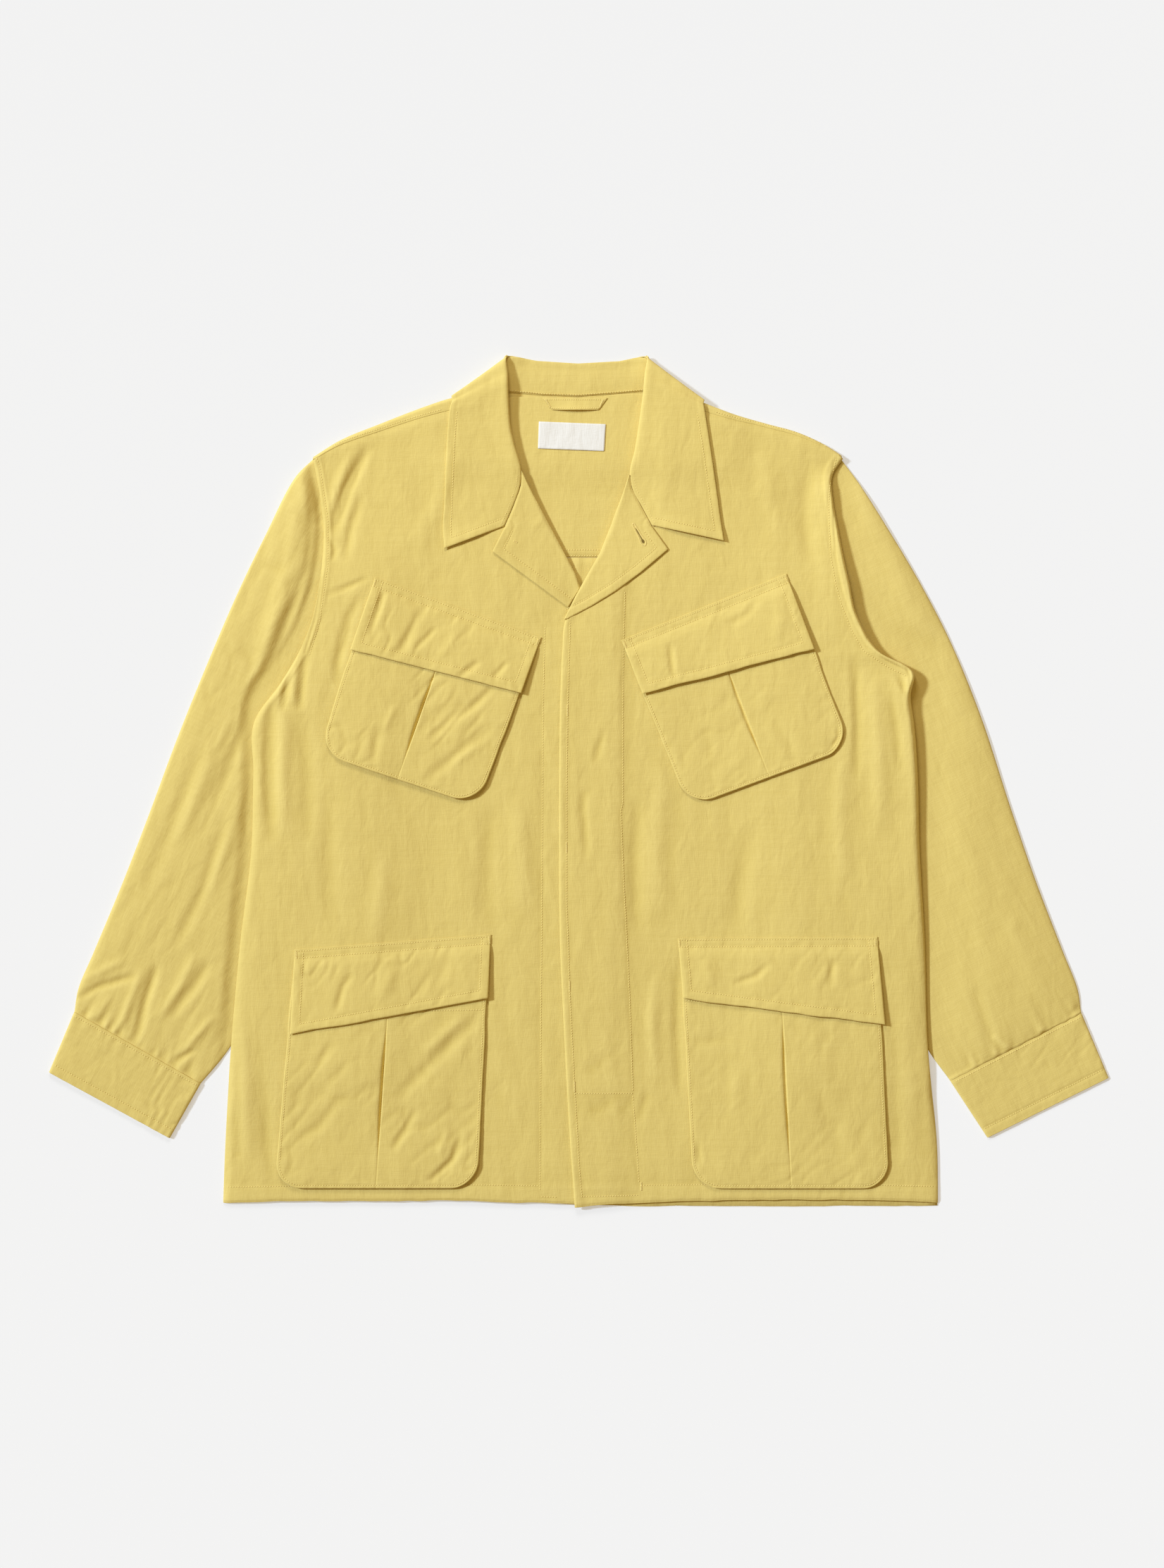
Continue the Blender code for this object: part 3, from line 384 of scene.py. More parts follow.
def groove(paths: list[Array], x: Array, y: Array, depth: float, width: float = 1.5) -> Array:
    """Dips of the cloth along rows of stitches, each a bell curve of the distance from its row.

    Args:
        paths: the rows.
        x, y: places across and along the body.
        depth: how deep the dips are.
        width: how wide they are.

    Returns:
        Heights from minus the depth to 0, those of the deepest dip at each place.
    """
    total = np.zeros(x.shape)
    for path in paths:
        near = near_path(path, 3.0 * width, x, y)
        if near.any():
            distance, _ = path_distance(path, x[near], y[near])
            total[near] = np.minimum(total[near], -depth * bell(distance, width))
    return total


def bell(distance: Array, width: float) -> Array:
    """Bell curve: 1 at no distance, about a third at a width, and nearly 0 at two."""
    return np.exp(-(distance / width) ** 2)


def edge_round(distance: Array, radius: float) -> Array:
    """How far cloth has turned down towards an edge: 1 at the edge and 0 from a radius inwards."""
    return np.clip(1.0 - distance / radius, 0.0, 1.0) ** 2


@dataclass(frozen=True)
class PhotoFrame:
    """Turns places in the photograph's pixels into millimetres of the jacket."""

    scale: float = 0.64
    middle: Span = (821.0, 1108.5)
    size: Span = (1652.0, 2225.0)

    def place(self, points: Path) -> Array:
        """Places in millimetres of points in pixels."""
        return (np.array(points, dtype=float) - self.middle) * (self.scale, -self.scale)


PHOTO = PhotoFrame()


@dataclass(frozen=True)
class Crease:
    """One crease: a path in the photograph's pixels, its half width and its rise, below 0 for a trough."""

    path: Path
    width: float
    rise: float

    def add_to(self, total: Array, x: Array, y: Array) -> None:
        """Add the crease to heights: a rounded trough or ridge with low shoulders of the other sign.

        Args:
            total: heights that the crease is added to.
            x, y: places across and along the body.
        """
        path = PHOTO.place(self.path)
        near = near_path(path, 3.0 * self.width, x, y)
        if not near.any():
            return
        distance, share = path_distance(path, x[near], y[near])
        ratio = (distance / (0.8 * self.width)) ** 2
        fade = 1.0 - np.abs(2.0 * share - 1.0) ** 3
        total[near] += 1.5 * self.rise * fade * (1.0 - 0.5 * ratio) * np.exp(-ratio)


def relief(creases: CreaseTable, x: Array, y: Array) -> Array:
    """Heights of a table of creases, added up.

    Args:
        creases: the table.
        x, y: places across and along the body.

    Returns:
        The heights.
    """
    x, y = np.broadcast_arrays(x, y)
    total = np.zeros(x.shape)
    for row in creases:
        Crease(*row).add_to(total, x, y)
    return total


# Creases: path in the photograph's pixels, half width, and rise, below 0 for a trough
BODY_CREASES: CreaseTable = (
    (((525, 630), (508, 665), (493, 695), (478, 740), (468, 762)), 7.0, -1.7),
    (((515, 700), (498, 750), (490, 800)), 6.0, -0.9),
    (((500, 640), (480, 690), (470, 730)), 7.0, 0.9),
    (((465, 760), (476, 780), (472, 798)), 3.5, -0.8),
    (((525, 820), (490, 835), (462, 845)), 4.0, -0.8),
    (((512, 845), (495, 880), (480, 940), (478, 975)), 6.0, -1.2),
    (((434, 930), (430, 970), (426, 1010)), 4.5, -1.6),
    (((420, 945), (416, 1000)), 4.0, 0.9),
    (((408, 960), (402, 1010)), 4.0, -1.3),
    (((388, 985), (383, 1040), (382, 1110), (385, 1200)), 8.0, -1.6),
    (((405, 1010), (402, 1100), (405, 1190)), 9.0, 1.0),
    (((428, 1010), (436, 1100), (440, 1200)), 10.0, -0.8),
    (((735, 1130), (740, 1220), (742, 1300)), 14.0, 0.9),
    (((700, 1140), (690, 1240), (695, 1320)), 13.0, -0.8),
    (((545, 1200), (540, 1290), (530, 1340)), 12.0, 0.7),
    (((470, 1120), (465, 1230), (470, 1330)), 13.0, -0.7),
    (((346, 1440), (350, 1560), (352, 1660)), 9.0, 0.8),
    (((372, 1480), (380, 1600), (385, 1690)), 8.0, -0.7),
    (((330, 1637), (345, 1637)), 2.5, -0.6),
    (((1210, 930), (1214, 970), (1216, 1030), (1214, 1110)), 6.0, -1.2),
    (((1240, 960), (1245, 1060), (1250, 1180)), 11.0, 1.0),
    (((1195, 1060), (1190, 1160), (1195, 1280)), 12.0, 0.7),
    (((1272, 955), (1288, 990)), 4.0, -1.2),
    (((1284, 940), (1292, 968)), 3.0, -1.0),
    (((1226, 904), (1244, 918)), 3.0, -1.0),
    (((1212, 884), (1232, 896)), 3.0, -0.9),
    (((1262, 985), (1272, 1040), (1276, 1100)), 6.0, -0.8),
    (((1060, 1170), (1050, 1260), (1040, 1330)), 14.0, -0.8),
    (((940, 1080), (930, 1200), (935, 1300)), 15.0, 0.9),
    (((905, 1130), (900, 1220), (905, 1330)), 9.0, -0.7),
    (((962, 1360), (960, 1460), (966, 1560)), 7.0, -1.1),
    (((928, 1380), (925, 1470), (930, 1540)), 8.0, 0.7),
    (((1290, 1390), (1288, 1520), (1292, 1660)), 12.0, 0.35),
    (((1268, 1440), (1272, 1560), (1276, 1680)), 8.0, -0.3),
    (((858, 1035), (850, 1060), (844, 1085)), 4.0, -0.8),
    (((845, 1120), (828, 1128), (827, 1150), (831, 1185), (832, 1220)), 4.5, -0.9),
    (((868, 1497), (830, 1522)), 4.0, -0.8),
    (((884, 1552), (858, 1568), (828, 1582)), 4.5, -1.1),
    (((900, 1558), (875, 1582)), 4.0, -0.8),
    (((922, 1548), (912, 1570), (904, 1592)), 4.5, -0.8),
    (((1200, 1685), (1195, 1702)), 3.0, -0.6),
    (((640, 640), (620, 720), (590, 780)), 14.0, 0.8),
    (((1080, 640), (1095, 720), (1120, 780)), 14.0, 0.7),
    (((1150, 650), (1140, 730), (1150, 800)), 10.0, -0.7),
)
SLEEVE_CREASES: CreaseTable = (
    (((443, 672), (442, 750), (438, 795), (425, 840), (402, 897), (360, 985)), 7.5, -1.6),
    (((424, 672), (420, 750), (412, 805), (394, 860), (365, 930)), 11.0, 1.5),
    (((395, 700), (370, 790), (335, 880)), 10.0, -0.8),
    (((410, 830), (385, 900), (360, 975), (330, 1060)), 9.0, 0.9),
    (((372, 960), (340, 1050), (300, 1150)), 8.0, -1.2),
    (((330, 1000), (290, 1100), (250, 1200)), 10.0, 0.9),
    (((345, 1120), (320, 1200), (290, 1280)), 9.0, 0.8),
    (((290, 1060), (240, 1180), (200, 1280)), 10.0, -0.8),
    (((325, 1160), (290, 1260), (245, 1350)), 7.0, -1.0),
    (((300, 1360), (275, 1400), (240, 1445)), 7.0, -1.3),
    (((280, 1350), (255, 1400), (225, 1450)), 6.0, 1.0),
    (((225, 1365), (207, 1420), (192, 1478)), 5.0, -1.9),
    (((205, 1370), (185, 1420), (170, 1465)), 6.0, 1.2),
    (((195, 1383), (140, 1400), (103, 1421)), 5.0, -1.8),
    (((180, 1360), (140, 1380), (115, 1392)), 6.0, 1.0),
    (((278, 1488), (242, 1511)), 4.0, -1.7),
    (((305, 1440), (275, 1475), (255, 1497)), 5.0, 1.1),
    (((160, 1410), (140, 1440), (125, 1446)), 5.0, 0.9),
    (((1240, 700), (1265, 790), (1300, 890)), 14.0, 0.6),
    (((1300, 760), (1330, 880), (1360, 1000)), 20.0, -0.5),
    (((1330, 1010), (1345, 1130), (1370, 1250)), 18.0, 0.5),
    (((1400, 1060), (1430, 1180), (1460, 1290)), 18.0, -0.4),
    (((1345, 1240), (1370, 1330), (1395, 1420)), 16.0, -0.6),
    (((1430, 1290), (1460, 1370), (1490, 1430)), 14.0, 0.5),
    (((1408, 1468), (1434, 1490)), 4.0, 1.1),
    (((1380, 1400), (1398, 1450), (1410, 1495)), 8.0, -0.9),
    (((1533, 1425), (1520, 1440)), 4.0, -1.0),
)
POCKET_CREASES: CreaseTable = (
    (((702, 972), (680, 995), (648, 1022)), 5.0, -0.9),
    (((662, 995), (635, 1025), (608, 1052)), 5.0, -0.8),
    (((704, 1028), (650, 1070), (598, 1112)), 7.0, -0.8),
    (((680, 1055), (640, 1085)), 6.0, 0.7),
    (((540, 1030), (533, 1060), (530, 1092)), 6.0, -0.7),
    (((562, 1000), (545, 1040)), 5.0, 0.6),
    (((1187, 1028), (1189, 1045), (1180, 1062)), 3.0, -0.8),
    (((1095, 1020), (1120, 1060), (1130, 1090)), 8.0, -0.5),
    (((1000, 1030), (1010, 1080)), 8.0, -0.5),
    (((592, 1572), (573, 1605), (556, 1632)), 4.5, -1.2),
    (((656, 1605), (642, 1645), (608, 1676)), 4.5, -1.2),
    (((640, 1600), (620, 1640)), 5.0, 0.7),
    (((684, 1437), (620, 1500), (558, 1562)), 8.0, -0.9),
    (((660, 1440), (600, 1495)), 7.0, 0.7),
    (((472, 1478), (450, 1512)), 5.0, -0.8),
    (((490, 1550), (450, 1600), (422, 1618)), 7.0, -0.7),
    (((990, 1615), (992, 1652)), 3.5, -0.8),
    (((985, 1480), (1040, 1470)), 7.0, -0.5),
    (((1150, 1520), (1180, 1600), (1190, 1650)), 12.0, -0.6),
    (((1050, 1500), (1040, 1590)), 11.0, 0.5),
)
FLAP_CREASES: CreaseTable = (
    (((549, 828), (538, 865), (524, 905)), 4.0, -1.2),
    (((602, 858), (588, 885), (566, 930)), 5.5, -0.7),
    (((622, 888), (590, 922)), 4.0, -0.8),
    (((682, 938), (650, 962)), 4.5, -0.9),
    (((722, 938), (700, 962)), 4.0, -0.8),
    (((650, 900), (625, 935)), 6.0, 0.6),
    (((950, 912), (952, 935), (956, 966)), 4.0, -0.9),
    (((1078, 848), (1060, 872), (1030, 890)), 6.0, -0.6),
    (((1110, 870), (1100, 910)), 8.0, 0.5),
    (((502, 1378), (488, 1400), (477, 1436)), 4.5, -0.9),
    (((560, 1370), (540, 1420)), 8.0, 0.6),
    (((640, 1345), (620, 1400)), 8.0, -0.5),
    (((1092, 1366), (1072, 1384), (1038, 1396)), 4.5, -0.8),
    (((1182, 1358), (1176, 1402)), 5.0, -0.8),
    (((1000, 1360), (1010, 1400)), 8.0, 0.5),
)

# Rows of stitches on the fronts, in millimetres
LEFT_SEAMS: dict[str, Path] = {
    "edge": ((-7.4, 144.6), (-7.6, 138.0), (-9.0, 95.0), (-9.8, 69.0), (-10.7, -19.0), (-10.7, -107.0),
             (-7.7, -195.0), (-3.2, -283.0), (1.2, -356.0), (3.2, -377.0)),
    "fly": ((42.2, 172.0), (40.8, 120.0), (40.3, 69.0), (40.3, -19.0), (38.5, -27.0), (41.0, -90.0),
            (43.5, -136.0), (46.4, -195.0), (49.3, -281.0)),
    "fly_base": ((-3.0, -283.0), (49.3, -283.0)),
    "facing": ((49.4, -285.0), (52.0, -320.0), (55.0, -365.0)),
    "hem_facing": ((4.0, -376.6), (54.0, -375.6)),
    "hem": ((56.0, -366.8), (140.0, -365.2), (215.0, -365.0), (322.0, -367.6)),
}
RIGHT_SEAMS: dict[str, Path] = {
    "facing": ((-30.5, 140.0), (-32.0, 69.0), (-33.5, -150.0), (-35.0, -371.0)),
    "hem_facing": ((-34.0, -376.8), (-19.0, -377.6)),
    "hem": ((-319.0, -368.2), (-200.0, -366.2), (-105.0, -366.0), (-36.0, -367.0)),
}
# Rows of stitches along the armholes, in the photograph's pixels
ARMHOLE_STITCH: dict[str, Path] = {
    "right": ((450, 650), (455, 665), (466, 740), (466, 800), (455, 880), (440, 930)),
    "left": ((1186, 652), (1177, 690), (1175, 720), (1178, 790), (1185, 830), (1195, 865), (1207, 895),
             (1225, 925), (1260, 948), (1285, 960)),
}

# Curves read once from the tables
SIDE_RIGHT = through_rows(FRONT_RIGHT, 200)[:, 2:4]
SIDE_LEFT = through_rows(FRONT_LEFT, 200)[:, 2:4]
SHOULDER_CURVE = through_rows(SHOULDER, 160)


class Side(Enum):
    """The wearer's sides, by the sign of X."""

    RIGHT = -1.0
    LEFT = 1.0

    @property
    def word(self) -> str:
        """The side as it is written in names."""
        return self.name.lower()


@dataclass(frozen=True)
class Lay:
    """Heights of the stacked layers of cloth above the floor."""

    step: float = 1.6
    tucked: float = 3.4
    tuck_across: Span = (170.0, 204.0)
    tuck_under_arm: Span = (172.0, 208.0)
    tuck_over_hem: Span = (-290.0, -256.0)
    front_spread: float = 45.0
    lowest_front: float = 3.1
    front_loft: float = 2.1
    loft_reach: float = 14.0
    deepest_wave: float = 2.2
    fall_room: float = 1.8
    shoulder_y: float = 290.0
    yoke_inset: float = 0.2
    shoulder_rise: float = 2.2
    shoulder_reach: float = 22.0
    left_side_swell: float = 8.0
    right_side_swell: float = 1.8
    side_reach: float = 26.0
    armhole_swell: float = 6.5
    armhole_reach: float = 20.0
    neck_dip: float = 1.6
    neck_reach: float = 26.0
    roll_puff: float = 1.4
    puff_reach: float = 11.0

    def half_width(self, x: Array, y: Array) -> Array:
        """Distance from the centre to the side seam or armhole, on the side that the sign of x gives."""
        at_right = np.interp(y, SIDE_RIGHT[:, 1], -SIDE_RIGHT[:, 0])
        at_left = np.interp(y, SIDE_LEFT[:, 1], SIDE_LEFT[:, 0])
        return np.where(np.asarray(x) < 0.0, at_right, at_left)

    def inside(self, x: Array, y: Array) -> Array:
        """Distance across from a place to the side seam or armhole."""
        return np.maximum(self.half_width(x, y) - np.abs(x), 0.0)

    def tuck(self, x: Array, y: Array, spread: float = 0.0) -> Array:
        """Lift of the body's sides over the sleeves below them, eased in sooner by a spread."""
        beside = smooth(np.abs(x), self.tuck_across[0] - spread, self.tuck_across[1])
        below_arm = ease_off(y, self.tuck_under_arm[0], self.tuck_under_arm[1] + spread)
        over_hem = smooth(y, self.tuck_over_hem[0] - spread, self.tuck_over_hem[1])
        return self.tucked * beside * below_arm * over_hem

    def yoke(self, x: Array, y: Array) -> Array:
        """Lift of the yoke, and of the fronts on it, over the collar fall at the back."""
        return self.fall_room * smooth(y, 262.0, 294.0) * ease_off(np.abs(x), 130.0, 165.0)

    def shoulder(self, x: Array) -> Array:
        """Line where the yoke turns over the shoulder."""
        return np.interp(x, SHOULDER_CURVE[:, 0], SHOULDER_CURVE[:, 1])

    def yoke_half(self, side: Array) -> Array:
        """Half width of the yoke at the shoulder."""
        return self.half_width(side, self.shoulder_y) - self.yoke_inset

    def shoulder_seam(self, x: Array) -> Array:
        """Seam of the yoke and a front, in front of the shoulder line."""
        edge = np.array(YOKE_TOP)
        return self.shoulder(x) - np.interp(x / self.yoke_half(x), edge[:, 0], edge[:, 1])

    def swell(self, x: Array, y: Array) -> Array:
        """How much fuller the body stands at its sides, at the open armhole and below the shoulders.

        Each is a rise that dies away with the distance from its edge.

        Args:
            x, y: places across and along the body.

        Returns:
            The added heights.
        """
        inside = self.inside(x, y)
        side = np.where(x > 0.0, self.left_side_swell, self.right_side_swell)
        side = side * (0.6 + 0.4 * smooth(y, -60.0, 60.0)) * smooth(y, -220.0, -40.0)
        side = side * ease_off(y, 92.0, 125.0) * np.exp(-inside / self.side_reach)
        armhole = self.armhole_swell * smooth(x, 200.0, 225.0) * smooth(y, 95.0, 120.0)
        armhole = armhole * ease_off(y, 262.0, 292.0) * np.exp(-inside / self.armhole_reach)
        near_seam = np.maximum(self.shoulder_seam(x) - y, 0.0)
        return side + armhole + self.shoulder_rise * np.exp(-near_seam / self.shoulder_reach)

    def neck(self, x: Array, y: Array) -> Array:
        """How far the fronts dip towards the roll of the lapels.

        The dip is a bell curve of the distance from the nearer roll, and it ends at the shoulders.

        Args:
            x, y: places across and along the body.

        Returns:
            The depths.
        """
        x, y = np.broadcast_arrays(x, y)
        dip = np.zeros(x.shape)
        near = (np.abs(x) < 110.0) & (y > 100.0)
        if near.any():
            right, _ = path_distance(np.array(ROLL_RIGHT), x[near], y[near])
            left, _ = path_distance(np.array(ROLL_LEFT), x[near], y[near])
            dip[near] = bell(np.minimum(right, left), self.neck_reach) * ease_off(y[near], 238.0, 290.0)
        return self.neck_dip * dip

    def puff(self, roll_y: Array, reach: Array) -> Array:
        """How much higher the collar and the lapels stand at their roll than past it."""
        nearness = np.exp(-np.maximum(reach, 0.0) / self.puff_reach)
        return self.roll_puff * smooth(roll_y, 235.0, 310.0) * nearness

    def front(self, x: Array, y: Array) -> Array:
        """Upper face of the right front, and of the left one away from the closing.

        It grows in height from the sides inwards, with creases, swells and the dip at the neck.

        Args:
            x, y: places across and along the body.

        Returns:
            The heights.
        """
        grown = 1.0 - np.exp(-self.inside(x, y) / self.loft_reach)
        at_hem = 0.5 + 0.5 * smooth(y, -384.0, -345.0)
        loft = self.lowest_front + self.front_loft * grown * at_hem
        waves = relief(BODY_CREASES, x, y) + 0.85 * crinkle(x, y, 3.0)
        waves = waves * np.minimum(grown * 2.0, 1.0)
        waves = waves * (0.35 + 0.65 * smooth(y, -386.0, -350.0))
        loft = loft + self.swell(x, y) + np.maximum(waves, -self.deepest_wave) - self.neck(x, y)
        return self.tuck(x, y, self.front_spread) + self.yoke(x, y) + loft

    def left_front(self, x: Array, y: Array) -> Array:
        """Upper face of the left front, lifted where it lies on the right one."""
        over_front = ease_off(x, 26.0, 50.0) * ease_off(y, 172.0, 215.0)
        return self.front(x, y) + self.step * over_front

    def top(self, side: Side, x: Array, y: Array) -> Array:
        """Upper face of the front on one side."""
        return self.left_front(x, y) if side is Side.LEFT else self.front(x, y)

    def fronts(self, x: Array, y: Array) -> Array:
        """Upper face of whichever front is below a place."""
        return np.where(x > 0.0, self.left_front(x, y), self.front(x, y))


LAY = Lay()


def set_inputs(tree: NodeTree, node: Node, values: dict[int | str, object]) -> None:
    """Set inputs of a node to values, or link them where the value is another node's output.

    Args:
        tree: the tree that holds the node.
        node: the node.
        values: what goes into each input, by its name or number.
    """
    for key, value in values.items():
        if isinstance(value, NodeSocket):
            tree.links.new(value, node.inputs[key])
        else:
            node.inputs[key].default_value = value


def add_node(tree: NodeTree, kind: str, values: dict[int | str, object] | None = None,
             **settings: object) -> Node:
    """Add a node.

    Args:
        tree: the tree that it goes into.
        kind: type of the node.
        values: what goes into its inputs.
        settings: its own settings, which come first.

    Returns:
        The node.
    """
    node = tree.nodes.new(kind)
    for name, setting in settings.items():
        setattr(node, name, setting)
    set_inputs(tree, node, values or {})
    return node


def add_math(tree: NodeTree, operation: str, *values: object, clamp: bool = False) -> NodeSocket:
    """The result of a new maths node, from numbers and other nodes' outputs in order."""
    node = add_node(tree, "ShaderNodeMath", dict(enumerate(values)), operation=operation, use_clamp=clamp)
    return node.outputs["Value"]


class NodeGroups:
    """Shared shader node groups, made once each."""

    # Output, two pitches in metres across and along the cut, detail and warp of the noises
    WEAVE = (
        ("Thread", ((0.0009, 0.006), (0.006, 0.0009)), 1.0, 0.0),
        ("Slub", ((0.0022, 0.05), (0.05, 0.0022)), 1.0, 0.0),
        ("Crumple", ((0.03, 0.05), (0.014, 0.024)), 2.0, 0.3),
    )

    @classmethod
    def weave(cls) -> NodeTree:
        """Plain weave with slubs: fine threads both ways, longer and wider streaks, and a soft crumple.

        Each output is the mean of two noises, stretched by their pitches.

        Returns:
            The group.
        """
        known = bpy.data.node_groups.get("plain_weave")
        if known:
            return known
        group = bpy.data.node_groups.new("plain_weave", "ShaderNodeTree")
        group.interface.new_socket(name="Cut", in_out="INPUT", socket_type="NodeSocketVector")
        for name, *_ in cls.WEAVE:
            group.interface.new_socket(name=name, in_out="OUTPUT", socket_type="NodeSocketFloat")
        entry = add_node(group, "NodeGroupInput")
        leave = add_node(group, "NodeGroupOutput")
        for name, pitches, detail, warp in cls.WEAVE:
            noises = []
            for across, along in pitches:
                scaled = add_node(group, "ShaderNodeVectorMath",
                                  {0: entry.outputs["Cut"], 1: (1.0 / across, 1.0 / along, 0.0)},
                                  operation="MULTIPLY")
                noise = add_node(group, "ShaderNodeTexNoise",
                                 {"Vector": scaled.outputs["Vector"], "Scale": 1.0, "Detail": detail,
                                  "Distortion": warp}, noise_dimensions="2D")
                noises.append(noise.outputs["Fac"])
            mean = add_math(group, "MULTIPLY", add_math(group, "ADD", *noises), 0.5)
            set_inputs(group, leave, {name: mean})
        return group


@dataclass(frozen=True)
class Finish:
    """A matte finish with one material."""

    name: str

    def material(self) -> Material:
        """The finish's look, made once.

        Returns:
            The material.
        """
        known = bpy.data.materials.get(self.name)
        if known:
            return known
        made = bpy.data.materials.new(self.name)
        made.use_nodes = True
        self.paint(made.node_tree, made.node_tree.nodes["Principled BSDF"])
        return made

    def paint(self, tree: NodeTree, shader: Node) -> None:
        """Set the nodes of the new material."""
        raise NotImplementedError


@dataclass(frozen=True)
class ClothFinish(Finish):
    """A matte woven cloth."""

    # Darker and lighter tone of the cloth, mixed by its slub streaks and by painted shade in hollows and
    # painted light on ridges
    lit: Colour
    shade: Colour
    slub: float = 0.5
    # Weight of the painted shade and light that come from each place's height over the cloth round it
    crease: float = 0.3
    relief: float = 0.00035
    relief_strength: float = 0.6
    crumple: float = 0.0014
    roughness: float = 0.9
    gloss: float = 0.15
    sheen: float = 0.12
    sheen_roughness: float = 0.5

    def paint(self, tree: NodeTree, shader: Node) -> None:
        """Colour and bumps of the cloth.

        The colour goes from the shade colour to the lit one: half way, plus the slub streaks of the cloth's
        own uneven threads, plus painted shade from the height of each place over the cloth round it, so that
        ridges are painted lighter and hollows darker.  The crumple gives a wide bump and the threads a fine
        one on it.

        Args:
            tree: the material's nodes.
            shader: its surface.
        """
        cut = add_node(tree, "ShaderNodeUVMap", uv_map="cut")
        weave = add_node(tree, "ShaderNodeGroup", node_tree=NodeGroups.weave())
        set_inputs(tree, weave, {"Cut": cut.outputs["UV"]})
        # Each place's height over the cloth round it, which paints light on ridges and shade in hollows
        height = add_node(tree, "ShaderNodeAttribute", attribute_name="crease")
        slub = add_math(tree, "MULTIPLY_ADD", weave.outputs["Slub"], self.slub, 0.5 - 0.5 * self.slub)
        # Painted shade and light from the height, plus the slub streaks of the cloth's own threads
        painted_shade_and_slub = add_math(tree, "MULTIPLY_ADD", height.outputs["Fac"], self.crease, slub, clamp=True)
        tones = {"A": (*self.shade, 1.0), "B": (*self.lit, 1.0), "Factor": painted_shade_and_slub}
        colour = add_node(tree, "ShaderNodeMix", tones, data_type="RGBA")
        crumple = add_node(tree, "ShaderNodeBump", {"Strength": 1.0, "Distance": self.crumple,
                                                    "Height": weave.outputs["Crumple"]})
        bump = add_node(tree, "ShaderNodeBump", {"Strength": self.relief_strength, "Distance": self.relief,
                                                 "Height": weave.outputs["Thread"],
                                                 "Normal": crumple.outputs["Normal"]})
        set_inputs(tree, shader, {
            "Base Color": colour.outputs["Result"], "Normal": bump.outputs["Normal"],
            "Roughness": self.roughness, "Specular IOR Level": self.gloss,
            "Sheen Weight": self.sheen, "Sheen Roughness": self.sheen_roughness,
        })


@dataclass(frozen=True)
class PlainFinish(Finish):
    """An even, matte finish."""

    colour: Colour
    roughness: float = 0.8
    gloss: float = 0.1

    def paint(self, tree: NodeTree, shader: Node) -> None:
        """One colour."""
        set_inputs(tree, shader, {"Base Color": (*self.colour, 1.0), "Roughness": self.roughness,
                                  "Specular IOR Level": self.gloss})


# Lit and shade tones of each cloth, mixed by the slub streaks and by painted shade in hollows and painted
# light on ridges
COTTON = ClothFinish("cotton_cloth", (0.815, 0.646, 0.215), (0.665, 0.504, 0.135))
LABEL = ClothFinish("label_cloth", (0.865, 0.845, 0.79), (0.78, 0.755, 0.69), slub=0.3)
THREAD = PlainFinish("cotton_thread", (0.85, 0.685, 0.255))
# Dark colour for the buttonhole's opening: painted shade where the cut lies open
BUTTONHOLE_SHADE = PlainFinish("buttonhole_painted_shade", (0.2, 0.13, 0.03))
FLOOR = PlainFinish("white_floor", (0.53, 0.53, 0.53))


def add_object(name: str, data: ID) -> Object:
    """A new object of the data, linked to the scene."""
    made = bpy.data.objects.new(name, data)
    bpy.context.scene.collection.objects.link(made)
    return made


def quad_mesh(name: str, points: Array, quads: Array, material: Material) -> Object:
    """A smooth-shaded object of quads, from points in millimetres.

    Args:
        name: name of the object and its mesh.
        points: one point in each row.
        quads: four point numbers in each row.
        material: the finish.

    Returns:
        The object, linked to the scene.
    """
    mesh = bpy.data.meshes.new(name)
    mesh.vertices.add(len(points))
    mesh.vertices.foreach_set("co", ((points - CENTRE) * MM).astype(np.float32).ravel())
    mesh.loops.add(quads.size)
    mesh.loops.foreach_set("vertex_index", quads.astype(np.int32).ravel())
    mesh.polygons.add(len(quads))
    mesh.polygons.foreach_set("loop_start", np.arange(0, quads.size, 4, dtype=np.int32))
    mesh.update(calc_edges=True)
    mesh.shade_smooth()
    mesh.materials.append(material)
    return add_object(name, mesh)


def box_blur(values: Array, reach: int) -> Array:
    """Running mean over a square of cells round each place, with the border values carried on.

    Args:
        values: a grid of values.
        reach: cells on each side of a place.

    Returns:
        The means.
    """
    for axis in (0, 1):
        width = [(0, 0), (0, 0)]
        width[axis] = (reach + 1, reach)
        total = np.cumsum(np.pad(values, width, mode="edge"), axis=axis)
        count = values.shape[axis]
        ahead = np.take(total, np.arange(2 * reach + 1, 2 * reach + 1 + count), axis=axis)
        values = (ahead - np.take(total, np.arange(count), axis=axis)) / (2.0 * reach + 1.0)
    return values


def height_on(grid: Array, xy: Array) -> Array:
    """Heights of a grid at places, as the mean of its four nearest points by closeness.

    Args:
        grid: the points of the face.
        xy: the places.

    Returns:
        The heights.
    """
    known = grid.reshape(-1, 3)
    heights = []
    for part in np.array_split(xy, max(1, len(xy) // PLACES_AT_ONCE)):
        aside = (known[None, :, 0] - part[:, None, 0]) ** 2
        apart = aside + (known[None, :, 1] - part[:, None, 1]) ** 2
        near = np.argpartition(apart, 4, axis=1)[:, :4]
        weight = 1.0 / (np.take_along_axis(apart, near, axis=1) + 0.01)
        heights.append((known[near, 2] * weight).sum(axis=1) / weight.sum(axis=1))
    return np.concatenate(heights)


